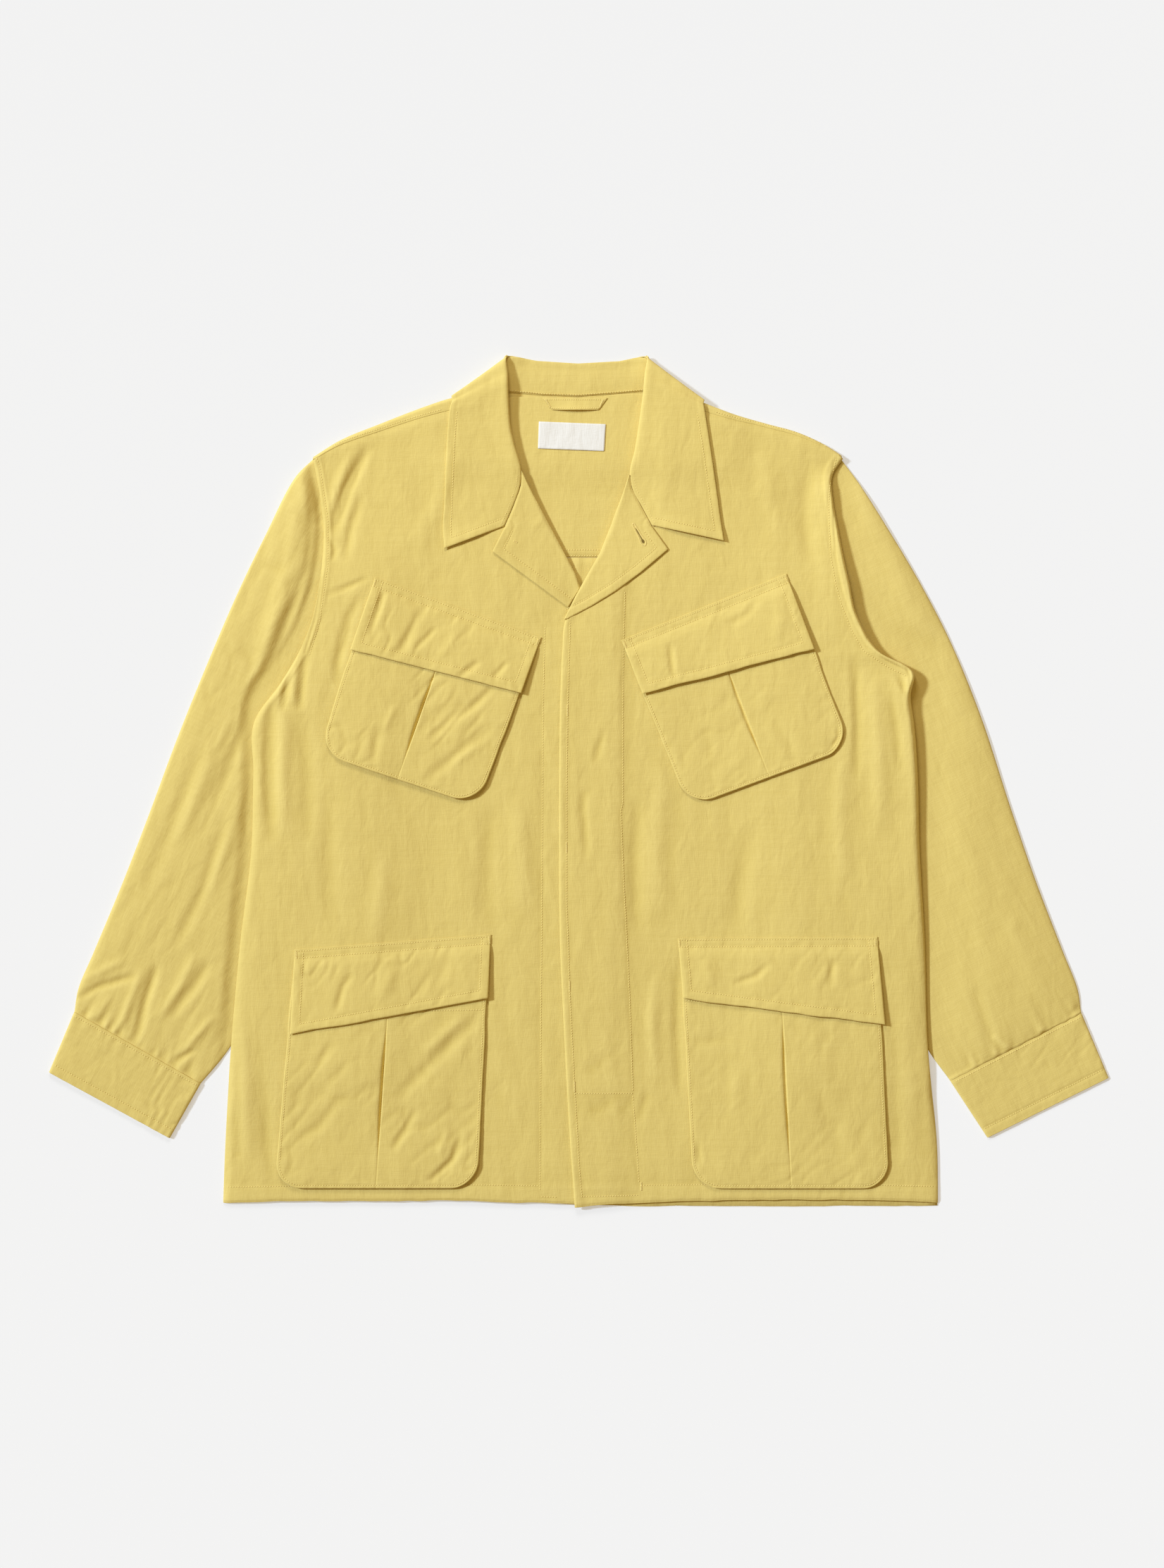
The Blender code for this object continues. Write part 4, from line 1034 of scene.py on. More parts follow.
@dataclass
class ClothPiece:
    """One cut piece, named as its solid: a grid of points on its outer face, and its wall."""

    node: str
    grid: Array
    wall: float = 0.8
    finish: ClothFinish = COTTON
    ring: bool = False
    face_up: bool = True
    grain: float = 0.0
    held: str = "laid"
    rim_bulge: float = 0.3
    sewing: list[Object] = field(default_factory=list)

    def normals(self) -> Array:
        """Outward normals: the cross product of the steps along a row and between rows.

        Returns:
            A vector of length 1 for each point.
        """
        if self.ring:
            around = np.concatenate((self.grid[:, -1:], self.grid, self.grid[:, :1]), axis=1)
            across = np.gradient(around, axis=1)[:, 1:-1]
        else:
            across = np.gradient(self.grid, axis=1)
        return unit(np.cross(across, np.gradient(self.grid, axis=0)))

    def orient(self) -> None:
        """Turn the grid's columns round if its normals point the wrong way."""
        normal = self.normals()
        if self.ring:
            middle = self.grid.mean(axis=1, keepdims=True)
            wrong = np.sum(normal * (self.grid - middle)) < 0.0
        else:
            wrong = (np.sum(normal[..., 2]) < 0.0) == self.face_up
        if wrong:
            self.grid = self.grid[:, ::-1]

    def rim(self, numbers: Array) -> list[Array]:
        """Point numbers of closed loops round the open edges, with the outside on the right hand."""
        if self.ring:
            return [np.append(numbers[0], numbers[0, 0]), np.append(numbers[-1], numbers[-1, 0])[::-1]]
        loop = (numbers[0, :-1], numbers[:-1, -1], numbers[-1, :0:-1], numbers[::-1, 0])
        return [np.concatenate(loop)]

    def build(self) -> Object:
        """The shell: the outer face, an inner face one wall below it, and a rounded rim between them.

        Returns:
            The object.
        """
        self.orient()
        rows, columns = self.grid.shape[:2]
        count = rows * columns
        inner = (self.grid - self.normals() * self.wall).reshape(-1, 3)
        outer = self.grid.reshape(-1, 3)
        numbers = np.arange(count).reshape(rows, columns)
        loops = self.rim(numbers)
        if self.ring:
            numbers = np.concatenate((numbers, numbers[:, :1]), axis=1)
        face = np.stack((numbers[:-1, :-1], numbers[:-1, 1:], numbers[1:, 1:], numbers[1:, :-1]), axis=2)
        face = face.reshape(-1, 4)
        quads = [face, face[:, ::-1] + count]
        # Painted shade and light: each place's height over the cloth round it, kept as the crease attribute;
        # the rim gets none
        points, tones = [outer, inner], [self.tone().ravel()] * 2
        start = 2 * count
        for loop in loops:
            edge = loop[:-1]
            along = np.roll(outer[edge], -1, axis=0) - np.roll(outer[edge], 1, axis=0)
            out = unit(np.cross(along, outer[edge] - inner[edge]))
            points.append((outer[edge] + inner[edge]) / 2.0 + out * self.rim_bulge * self.wall)
            tones.append(np.zeros(len(edge)))
            own = start + np.arange(len(edge))
            after = np.roll(own, -1)
            quads.append(np.stack((edge, own, after, loop[1:]), axis=1))
            quads.append(np.stack((own, edge + count, loop[1:] + count, after), axis=1))
            start += len(edge)
        points = np.concatenate(points)
        made = quad_mesh(self.node + "_cloth", points, np.concatenate(quads), self.finish.material())
        self.lay_cut(made.data, points)
        # The crease attribute paints shade in hollows and light on ridges
        crease = made.data.attributes.new("crease", "FLOAT", "POINT")
        crease.data.foreach_set("value", np.concatenate(tones).astype(np.float32))
        return made

    def tone(self) -> Array:
        """Height of each place over the cloth round it, -1 to 1 at a millimetre: painted light on ridges,
        shade in hollows.
        """
        height = self.grid[..., 2]
        reach = max(2, min(self.grid.shape[:2]) // 24)
        return np.clip(height - box_blur(height, reach), -1.0, 1.0)

    def lay_cut(self, mesh: Mesh, points: Array) -> None:
        """A UV map in metres along the cloth's grain: the places on the floor, turned by its angle.

        Args:
            mesh: the shell's mesh.
            points: its points in millimetres.
        """
        turn = np.radians(self.grain)
        u = points[:, 0] * np.cos(turn) + points[:, 1] * np.sin(turn)
        v = points[:, 1] * np.cos(turn) - points[:, 0] * np.sin(turn)
        corners = np.zeros(len(mesh.loops), dtype=np.int32)
        mesh.loops.foreach_get("vertex_index", corners)
        cut = (np.stack((u, v), axis=1) * MM)[corners]
        mesh.uv_layers.new(name="cut").uv.foreach_set("vector", cut.astype(np.float32).ravel())

    def dress(self, rests_on: list[str], slot: str = "cotton") -> None:
        """Args:
            rests_on: what it lies on or is sewn to; not used.
            slot: a material slot's name; not used.
        """
        made = self.build()
        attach(made, "root")
        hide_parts(self.node)
        for thread in self.sewing:
            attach(thread, "root")


@dataclass
class Thread:
    """The sewing of one piece, gathered into one mesh of short stitches.

    It is named after the piece, and lies on the piece's grid, unless a name or a face is given.
    """

    piece: ClothPiece
    name: str = ""
    face: Array | None = None
    pitch: float = 2.4
    length: float = 1.8
    thick: float = 0.37
    tack_pitch: float = 0.7
    starts: list[Array] = field(default_factory=list)
    ends: list[Array] = field(default_factory=list)

    def place(self, start: Array, end: Array) -> None:
        """Lay stitches between pairs of places."""
        face = self.piece.grid if self.face is None else self.face
        self.starts.append(np.column_stack((start, height_on(face, start))))
        self.ends.append(np.column_stack((end, height_on(face, end))))

    def sew(self, path: Array | Path, pitch: float = 0.0) -> None:
        """A row of stitches along a path.

        Args:
            path: points of the path.
            pitch: distance from stitch to stitch, or 0 for the thread's own.
        """
        path = np.array(path, dtype=float)
        pitch = pitch or self.pitch
        middle = np.arange(pitch / 2.0, path_run(path)[-1], pitch)
        half = self.length / self.pitch * pitch / 2.0
        self.place(along_path(path, middle - half), along_path(path, middle + half))

    def tack(self, path: Array | Path, width: float = 2.0) -> None:
        """A tack: close stitches, set crosswise along a short path.

        Args:
            path: points of the path.
            width: length of the stitches.
        """
        path = np.array(path, dtype=float)
        length = path_run(path)[-1]
        line = along_path(path, np.linspace(0.0, length, max(3, int(length / self.tack_pitch))))
        aside = left_of(unit(np.gradient(line, axis=0))) * width / 2.0
        self.place(line - aside, line + aside)

    def build(self) -> None:
        """One mesh for the piece: each stitch is four rings of four points, with thin, capped ends."""
        start, end = np.concatenate(self.starts), np.concatenate(self.ends)
        length = np.linalg.norm(end - start, axis=1, keepdims=True)
        way = unit(end - start)
        aside = unit(np.cross((0.0, 0.0, 1.0), way))
        up = np.cross(way, aside)
        along = np.repeat((-0.5, -0.28, 0.28, 0.5), 4)
        girth = np.repeat((0.4, 1.0, 1.0, 0.4), 4) * self.thick
        sink = np.repeat((-0.3, 0.25, 0.25, -0.3), 4) * self.thick
        turn = np.tile(np.radians((0.0, 90.0, 180.0, 270.0)), 4)
        points = (start + end)[:, None] / 2.0 + way[:, None] * length[:, None] * along[:, None]
        points = points + aside[:, None] * (girth * np.cos(turn))[:, None]
        points = points + up[:, None] * (girth * np.sin(turn) + sink)[:, None]
        quads = [(ring * 4 + k, ring * 4 + (k + 1) % 4, ring * 4 + 4 + (k + 1) % 4, ring * 4 + 4 + k)
                 for ring in range(3) for k in range(4)] + [(3, 2, 1, 0), (12, 13, 14, 15)]
        faces = np.array(quads)[None] + 16 * np.arange(len(start))[:, None, None]
        name = self.name or self.piece.node + "_thread"
        made = quad_mesh(name, points.reshape(-1, 3), faces.reshape(-1, 4), THREAD.material())
        self.piece.sewing.append(made)


def seam_x(path: Path, y: Array) -> Array:
    """Where a seam that runs down the body lies across, at places along the body."""
    points = np.array(path)
    return np.interp(-y, -points[:, 1], points[:, 0])


def spans(*parts: tuple[float, float, int]) -> Array:
    """Even values over one span after another, each given by its start, end and count."""
    return np.concatenate([np.linspace(*part) for part in parts])


@dataclass
class Front:
    """One front with its hem, closing edge and rounded side."""

    side: Side
    table: Table
    seams: dict[str, Path]
    rows: int = 262
    hem_rows: Row = (0.006, 0.02, 0.045)
    edge_columns: Row = (0.0, 0.6, 1.4, 2.6, 4.2)
    inner_columns: int = 118
    inner_from: float = 6.2
    inner_to: float = 17.0
    side_columns: Row = (
        14.0, 12.0, 10.2, 8.6, 7.4, 6.4, 5.4, 4.4, 3.4, 2.4, 1.5, 0.7, 0.2, 0.0)
    hem_rise: float = 0.5
    seam_rise: float = 0.7
    fly_rise: float = 0.6
    closing_rise: float = 0.4
    stitch_dip: float = 0.45
    armhole_dip: float = 0.7
    shoulder_height: float = 6.5
    edge_radius: float = 1.5
    side_radius: float = 7.0
    armhole_radius: float = 2.8
    tack_heights: Row = (64.0, -60.0, -186.0, -277.0)
    tack_half: float = 4.5

    @property
    def armhole(self) -> Array:
        """Row of stitches along the armhole."""
        return PHOTO.place(ARMHOLE_STITCH[self.side.word])

    def seam_paths(self) -> list[Array]:
        """Rows of stitches on this front."""
        return [np.array(path) for path in self.seams.values()] + [self.armhole]

    def places(self) -> tuple[Array, Array, Array, Array]:
        """Grid of places, closer together at the edges, and distances from the edges.

        Returns:
            The places, the distance from the front edge, the distance from the side and the share of the
            way up from the hem.
        """
        sections = through_rows(self.table, self.rows, self.hem_rows)
        width = section_widths(sections)
        inner = np.linspace(0.0, 1.0, self.inner_columns)[None]
        inner = self.inner_from + inner * (width - self.inner_from - self.inner_to)
        from_edge = np.array(self.edge_columns)[None] + 0.0 * width
        reach = np.concatenate((from_edge, inner, width - np.array(self.side_columns)[None]), axis=1)
        share = reach / width
        xy = ruled(sections, share)
        xy[..., 1] += sections[:, 4:5] * 4.0 * share * (1.0 - share)
        lift = LAY.shoulder_seam(xy[-1, :, 0]) + 0.6 - xy[-1, :, 1]
        up = row_places(len(self.table), self.rows, self.hem_rows)[:, None] / (len(self.table) - 1.0)
        xy[..., 1] += lift * smooth(up, 0.82, 1.0)
        xy[..., 1] += sway(xy[..., 0], 32.0) * ease_off(up, 0.0, 0.04)
        return xy, reach, width - reach, up

    def build(self) -> ClothPiece:
        """The front's shell: its lay, thicker hem and seams, dips along stitches and rounded edges.

        Returns:
            The piece.
        """
        xy, from_edge, from_side, up = self.places()
        x, y = xy[..., 0], xy[..., 1]
        z = LAY.top(self.side, x, y)
        z = z + self.hem_rise * ease_off(y, -368.0, -364.5)
        z = z + self.seam_rise * ease_off(from_side, 6.0, 9.0) * smooth(y, 60.0, 90.0)
        z = z + groove(self.seam_paths(), x, y, self.stitch_dip)
        z = z + groove([move_aside(self.armhole, self.side.value * 4.4)], x, y, self.armhole_dip, 1.0)
        at_shoulder = bell(np.maximum(LAY.shoulder_seam(x) - y, 0.0), 4.0)
        z = z + (LAY.yoke(x, y) + self.shoulder_height - z) * at_shoulder
        if self.side is Side.LEFT:
            in_fly = ease_off(x - seam_x(self.seams["fly"], y), -1.0, 2.0)
            z = z + self.fly_rise * in_fly * smooth(y, -285.0, -281.0)
            z = z + self.closing_rise * ease_off(from_edge, 6.0, 8.5)
        z = z - edge_round(from_edge, self.edge_radius) * ease_off(y, 145.0, 175.0)
        radius = self.side_radius + (self.armhole_radius - self.side_radius) * smooth(y, 62.0, 96.0)
        low = LAY.tuck(x, y) + 1.5 + 2.2 * smooth(y, 95.0, 130.0)
        if self.side is Side.LEFT:
            low = low - 1.7 * smooth(y, 35.0, 70.0) * ease_off(y, 122.0, 145.0)
        turned = np.sqrt(1.0 - (1.0 - np.clip(from_side / radius, 0.0, 1.0)) ** 2)
        z = low + (np.maximum(z, low) - low) * turned
        z = z - 0.9 * ease_off(up, 0.0, 0.004)
        return ClothPiece("front_" + self.side.word, with_height(xy, z))

    def dress(self) -> None:
        """Build, sew and dress the front."""
        piece = self.build()
        piece.orient()
        thread = Thread(piece)
        for path in self.seam_paths():
            thread.sew(path)
        if self.side is Side.LEFT:
            for height in self.tack_heights:
                x = float(seam_x(self.seams["edge"], height))
                thread.tack(((x, height - self.tack_half), (x, height + self.tack_half)))
            thread.tack(((57.0, -371.0), (57.0, -364.0)))
        thread.build()
        piece.dress(["back"])


@dataclass
class BackAndYoke:
    """The back on the floor and the yoke that turns over the shoulders to the fronts."""

    seam_y: float = 203.0
    seam_gap: float = 0.3
    hem_y: float = -384.5
    side_inset: float = 0.6
    back_rows: int = 100
    pleat_x: float = -1.0
    pleat_rise: float = 0.9
    pleat_width: float = 3.0
    roll: float = 3.4
    yoke_wall: float = 0.9
    flat_rows: int = 26
    front_rows: int = 10
    thread_lift: float = 0.95

    def back(self) -> ClothPiece:
        """The back, lifted over the sleeves, with a centre pleat.

        Returns:
            The piece.
        """
        y = np.linspace(self.hem_y, self.seam_y - self.seam_gap, self.back_rows)
        right, left = (LAY.half_width(side.value, y) - self.side_inset for side in Side)
        share = spans((0.0, 0.42, 30), (0.43, 0.57, 30), (0.58, 1.0, 30))
        xy = ruled(np.stack((-right, y, left, y), axis=1), share)
        hem = ease_off(y, self.hem_y, -374.0)[:, None]
        xy[..., 1] += hem * (5.0 - 6.0 * smooth(xy[..., 0], -110.0, 60.0) + 0.6 * sway(xy[..., 0], 31.0))
        pleat = self.pleat_rise * bell(xy[..., 0] - self.pleat_x, self.pleat_width)
        z = LAY.tuck(xy[..., 0], xy[..., 1]) + pleat * smooth(xy[..., 1], -60.0, 60.0)
        return ClothPiece("back", with_height(xy, z), face_up=False)

    def yoke(self) -> ClothPiece:
        """The yoke: flat at the back, round the shoulder line and forward to the front seam.

        Each column is measured along the cloth from the shoulder line, where it turns by half a circle.

        Returns:
            The piece.
        """
        edge = np.array(YOKE_TOP)
        share = spans((-1.0, -0.5, 40), (-0.49, -0.25, 36), (-0.24, 0.24, 46), (0.25, 0.49, 36),
                      (0.5, 1.0, 40))
        forward = np.interp(share, edge[:, 0], edge[:, 1])
        turned = smooth(forward, 0.0, self.roll) * np.pi * self.roll
        past = np.where(forward > 0.0, turned + np.maximum(forward - self.roll, 0.0), forward)
        line = LAY.shoulder(share * LAY.yoke_half(share))
        start = self.seam_y + self.seam_gap - (line - self.roll)
        middle = np.minimum(past - 12.0, -3.0)
        part = np.linspace(0.0, 1.0, self.flat_rows)[:, None]
        rows = np.concatenate((part * (middle - start) + start, part[1:] * (past - middle) + middle))
        turn = np.clip(rows / self.roll, 0.0, np.pi)
        again = np.maximum(rows - np.pi * self.roll, 0.0)
        y = line - self.roll + np.minimum(rows, 0.0) + self.roll * np.sin(turn) - again
        half = LAY.half_width(share * np.ones_like(y), np.minimum(y, LAY.shoulder_y)) - LAY.yoke_inset
        x = share * half
        z = LAY.yoke(x, y) + self.roll * (1.0 - np.cos(turn))
        return ClothPiece("yoke", np.stack((x, y, z), axis=2), wall=self.yoke_wall, face_up=False)

    def dress(self) -> None:
        """Build and dress both, with the seam's stitches inside the back and those on the shoulders."""
        self.back().dress(["floor"])
        piece = self.yoke()
        piece.orient()
        flat = piece.grid[:self.flat_rows] + np.array((0.0, 0.0, self.thread_lift))
        inside = Thread(piece, "yoke_inside_thread", flat)
        for height in (204.6, 210.0):
            inside.sew(((-60.0, height), (60.0, height)))
        inside.build()
        for side in Side:
            x = side.value * np.linspace(124.0, 226.0, 40)
            strip = Thread(piece, "shoulder_thread_" + side.word, piece.grid[-self.front_rows:])
            strip.sew(np.stack((x, LAY.shoulder_seam(x) + 2.4), axis=1))
            strip.build()
        piece.dress(["floor"])


@dataclass
class Sleeve:
    """A flattened sleeve, partly under the body, and its cuff.

    It lies low at the near end of the clear span, measured out from the body, and is full at the far end.
    """

    side: Side
    table: Table
    cuff_table: Table
    puckers: Path
    tuck_from: float
    clear: Span
    tip_rise: float
    crease: float
    edge_thin: float
    cuff_crease: float
    cuff_height: float
    seam_drop: float
    upper_rise: float = 0.0
    beside_rise: float = 0.0
    head_rise: float = 2.6
    rows: int = 190
    top_columns: int = 66
    fold_columns: int = 7
    under_columns: int = 10
    tucked: float = 2.4
    loft: float = 3.2
    fold_radius: float = 4.2
    cuff_radius: float = 3.4
    cuff_wall: float = 1.1
    slant: float = 24.0
    cuff_slant: float = 26.0
    cuff_stitch: Span = (0.05, 0.86)

    def ring(self, sections: Array, radius: float) -> tuple[Array, Array]:
        """Once round a flattened tube.

        Both ends are half circles of the radius, seen along the tube.

        Args:
            sections: outer and inner ends of each section.
            radius: radius of the folds.

        Returns:
            The share across each section, and the height as a share of the full height.
        """
        end = radius / section_widths(sections)
        over = end + (1.0 - 2.0 * end) * np.linspace(0.0, 1.0, self.top_columns)
        under = end + (1.0 - 2.0 * end) * np.linspace(1.0, 0.0, self.under_columns)
        turn = np.radians(np.linspace(90.0, -90.0, self.fold_columns + 2)[1:-1])
        corner = end * (1.0 - np.cos(turn))
        share = np.concatenate((over, 1.0 - corner, under, corner), axis=1)
        lift = 0.5 + 0.5 * np.sin(turn)
        height = np.concatenate((np.ones(self.top_columns), lift, np.zeros(self.under_columns), lift[::-1]))
        return share, height

    def armhole(self, shares: Array) -> Array:
        """Head of the sleeve: just outside the armhole, then straight down under the body.

        Args:
            shares: shares of the head's length, from the shoulder.

        Returns:
            The places.
        """
        edge = SIDE_RIGHT if self.side is Side.RIGHT else SIDE_LEFT
        head = edge[edge[:, 1] > self.tuck_from][::-1].copy()
        head[:, 0] += self.side.value * (-1.2 - 3.8 * smooth(-head[:, 1], -286.0, -262.0))
        tip = self.side.value * (LAY.yoke_half(self.side.value) - 0.8), 293.2
        path = np.concatenate(([tip], head, [self.table[0][2:4]]))
        return along_path(path, shares * path_run(path)[-1])

    def top(self, x: Array, y: Array) -> Array:
        """Height of the sleeve: low under the body, fuller beside it, raised at its head.

        Args:
            x, y: places across and along the body.

        Returns:
            The heights.
        """
        widest = np.max([LAY.half_width(x, y - drop) for drop in (0.0, 12.0, 24.0)], axis=0)
        beyond = np.abs(x) - widest
        near, far = self.clear
        waves = relief(SLEEVE_CREASES, x, y) + crinkle(x * 0.9 + y * 0.4 * self.side.value, y, 8.0)
        height = self.tucked + (self.loft + waves) * smooth(beyond, near, far)
        head = np.exp(-((np.abs(x) - 262.0) / 24.0) ** 2 - ((y - 255.0) / 34.0) ** 2)
        height = height + self.head_rise * head * smooth(beyond, near, 0.6 * far)
        tip = np.exp(-((y - 292.0) / 7.0) ** 2 - ((np.abs(x) - 245.0) / 12.0) ** 2)
        height = height + self.tip_rise * tip
        height = height + self.upper_rise * smooth(y, 158.0, 190.0) * ease_off(beyond, 6.0, 26.0)
        beside = bell(beyond - 13.0, 7.0) * smooth(beyond, 0.5, 7.0)
        height = height + self.beside_rise * beside * smooth(y, 140.0, 200.0) * ease_off(y, 266.0, 290.0)
        return np.maximum(height, self.tucked)

    def cuff_seam(self) -> Array:
        """Outer and inner end of the cuff seam."""
        return np.array(self.cuff_table[0], dtype=float).reshape(2, 2)

    def pucker(self, x: Array, y: Array, reach: float) -> Array:
        """Gathers at the cuff seam: uneven ridges across it that die away with the distance from it.

        Args:
            x, y: places across and along the body.
            reach: distance at which about a third is left.

        Returns:
            The heights.
        """
        seam = self.cuff_seam()
        way = (seam[1] - seam[0]) / np.linalg.norm(seam[1] - seam[0])
        along = (x - seam[0, 0]) * way[0] + (y - seam[0, 1]) * way[1]
        apart = np.abs((y - seam[0, 1]) * way[0] - (x - seam[0, 0]) * way[1])
        total = np.zeros(x.shape)
        for place in PHOTO.place(self.puckers):
            at = (place - seam[0]) @ way
            total -= 1.1 * bell(along - at, 3.2)
            total += 0.6 * bell(along - at - 6.0, 3.6)
        total = total + 1.1 * value_noise(along / 4.5, 0.0 * along, 71.0) * np.exp(-apart / reach)
        return total * np.exp(-apart / reach)

    def sleeve(self) -> ClothPiece:
        """The sleeve's shell, thinner at its folds and drawn down to the cuff seam.

        Returns:
            The piece.
        """
        sections = through_rows(self.table, self.rows)
        share, height = self.ring(sections, self.fold_radius)
        xy = ruled(sections, share)
        ragged = 0.8 + 0.6 * value_noise(xy[-1, :, 0] / 4.5, xy[-1, :, 1] / 4.5, 72.0)[:, None]
        xy[-1] += (xy[-1] - xy[-2]) * ragged / np.linalg.norm(xy[-1] - xy[-2], axis=1, keepdims=True)
        fade = ease_off(np.linspace(0.0, 1.0, self.rows), 0.0, 0.35)[:, None, None]
        xy = xy + (self.armhole(share[0]) - xy[0])[None] * fade
        x, y = xy[..., 0], xy[..., 1]
        from_seam, _ = path_distance(self.cuff_seam(), x, y)
        z = self.top(x, y) * (1.0 - 0.42 * np.exp(-from_seam / 25.0)) + 1.3 * self.pucker(x, y, 14.0)
        z = z + self.crease * folds(x, y, 90.0 + self.slant * self.side.value, 44.0, 12.0, 41.0)
        near = bell(from_seam, 1.8)
        z = np.maximum(z, self.tucked) * (1.0 - near) + (self.cuff_height - self.seam_drop) * near
        from_fold = np.minimum(share, 1.0 - share) * section_widths(sections)
        z = z * height * (1.0 - self.edge_thin * np.exp(-from_fold / 14.0) * (1.0 - near))
        return ClothPiece("sleeve_" + self.side.word, with_height(xy, z), ring=True,
                          grain=self.slant * self.side.value)

    def cuff(self) -> ClothPiece:
        """The cuff's shell, a short flattened tube with a dip along each row of stitches.

        Returns:
            The piece.
        """
        down = np.concatenate(((0.0, 0.008), np.linspace(0.025, 0.975, 42), (0.992, 0.998, 1.0)))[:, None]
        table = np.array(self.cuff_table)
        sections = table[0] * (1.0 - down) + table[1] * down
        share, height = self.ring(sections, self.cuff_radius)
        xy = ruled(sections, share)
        x, y = xy[..., 0], xy[..., 1]
        waves = 0.6 * self.pucker(x, y, 7.0) + self.cuff_crease * folds(x, y, 60.0, 20.0, 7.0, 42.0)
        waves = waves + 0.35 * value_noise(x / 30.0, y / 30.0, 12.0)
        waves = waves + 0.2 * self.cuff_crease * value_noise(x / 4.0, y / 4.0, 13.0)
        z = self.cuff_height - 0.6 * down - 0.5 * bell(down, 0.03) + waves * smooth(down, 0.0, 0.08)
        z = z - 0.5 * bell(down - self.cuff_stitch[1], 0.022)
        return ClothPiece("cuff_" + self.side.word, with_height(xy, z * height), wall=self.cuff_wall,
                          ring=True, grain=self.cuff_slant * self.side.value)

    def dress(self) -> None:
        """Build and dress the sleeve and the cuff, with the cuff's two rows of stitches."""
        self.sleeve().dress(["floor", "back"])
        cuff = self.cuff()
        thread = Thread(cuff, face=cuff.grid[:, :self.top_columns])
        table = np.array(self.cuff_table)
        for down in self.cuff_stitch:
            ends = (table[0] * (1.0 - down) + table[1] * down).reshape(2, 2)
            inset = (ends[1] - ends[0]) * 0.02
            thread.sew(np.stack((ends[0] + inset, ends[1] - inset)))
        thread.build()
        cuff.dress(["floor"])


SLEEVES = (
    Sleeve(Side.RIGHT, SLEEVE_RIGHT, CUFF_RIGHT,
           ((122, 1440), (140, 1455), (155, 1462), (168, 1470), (190, 1475), (230, 1505), (262, 1528)),
           tuck_from=152.0, clear=(1.0, 13.0), tip_rise=2.4, crease=0.7, edge_thin=0.35, cuff_crease=0.8,
           cuff_height=4.4, seam_drop=1.2, upper_rise=0.5, beside_rise=2.2),
    Sleeve(Side.LEFT, SLEEVE_LEFT, CUFF_LEFT, ((1487, 1455), (1380, 1520), (1533, 1432)),
           tuck_from=166.0, clear=(6.0, 52.0), tip_rise=1.6, crease=0.2, edge_thin=0.5, cuff_crease=0.4,
           cuff_height=3.0, seam_drop=0.1),
)


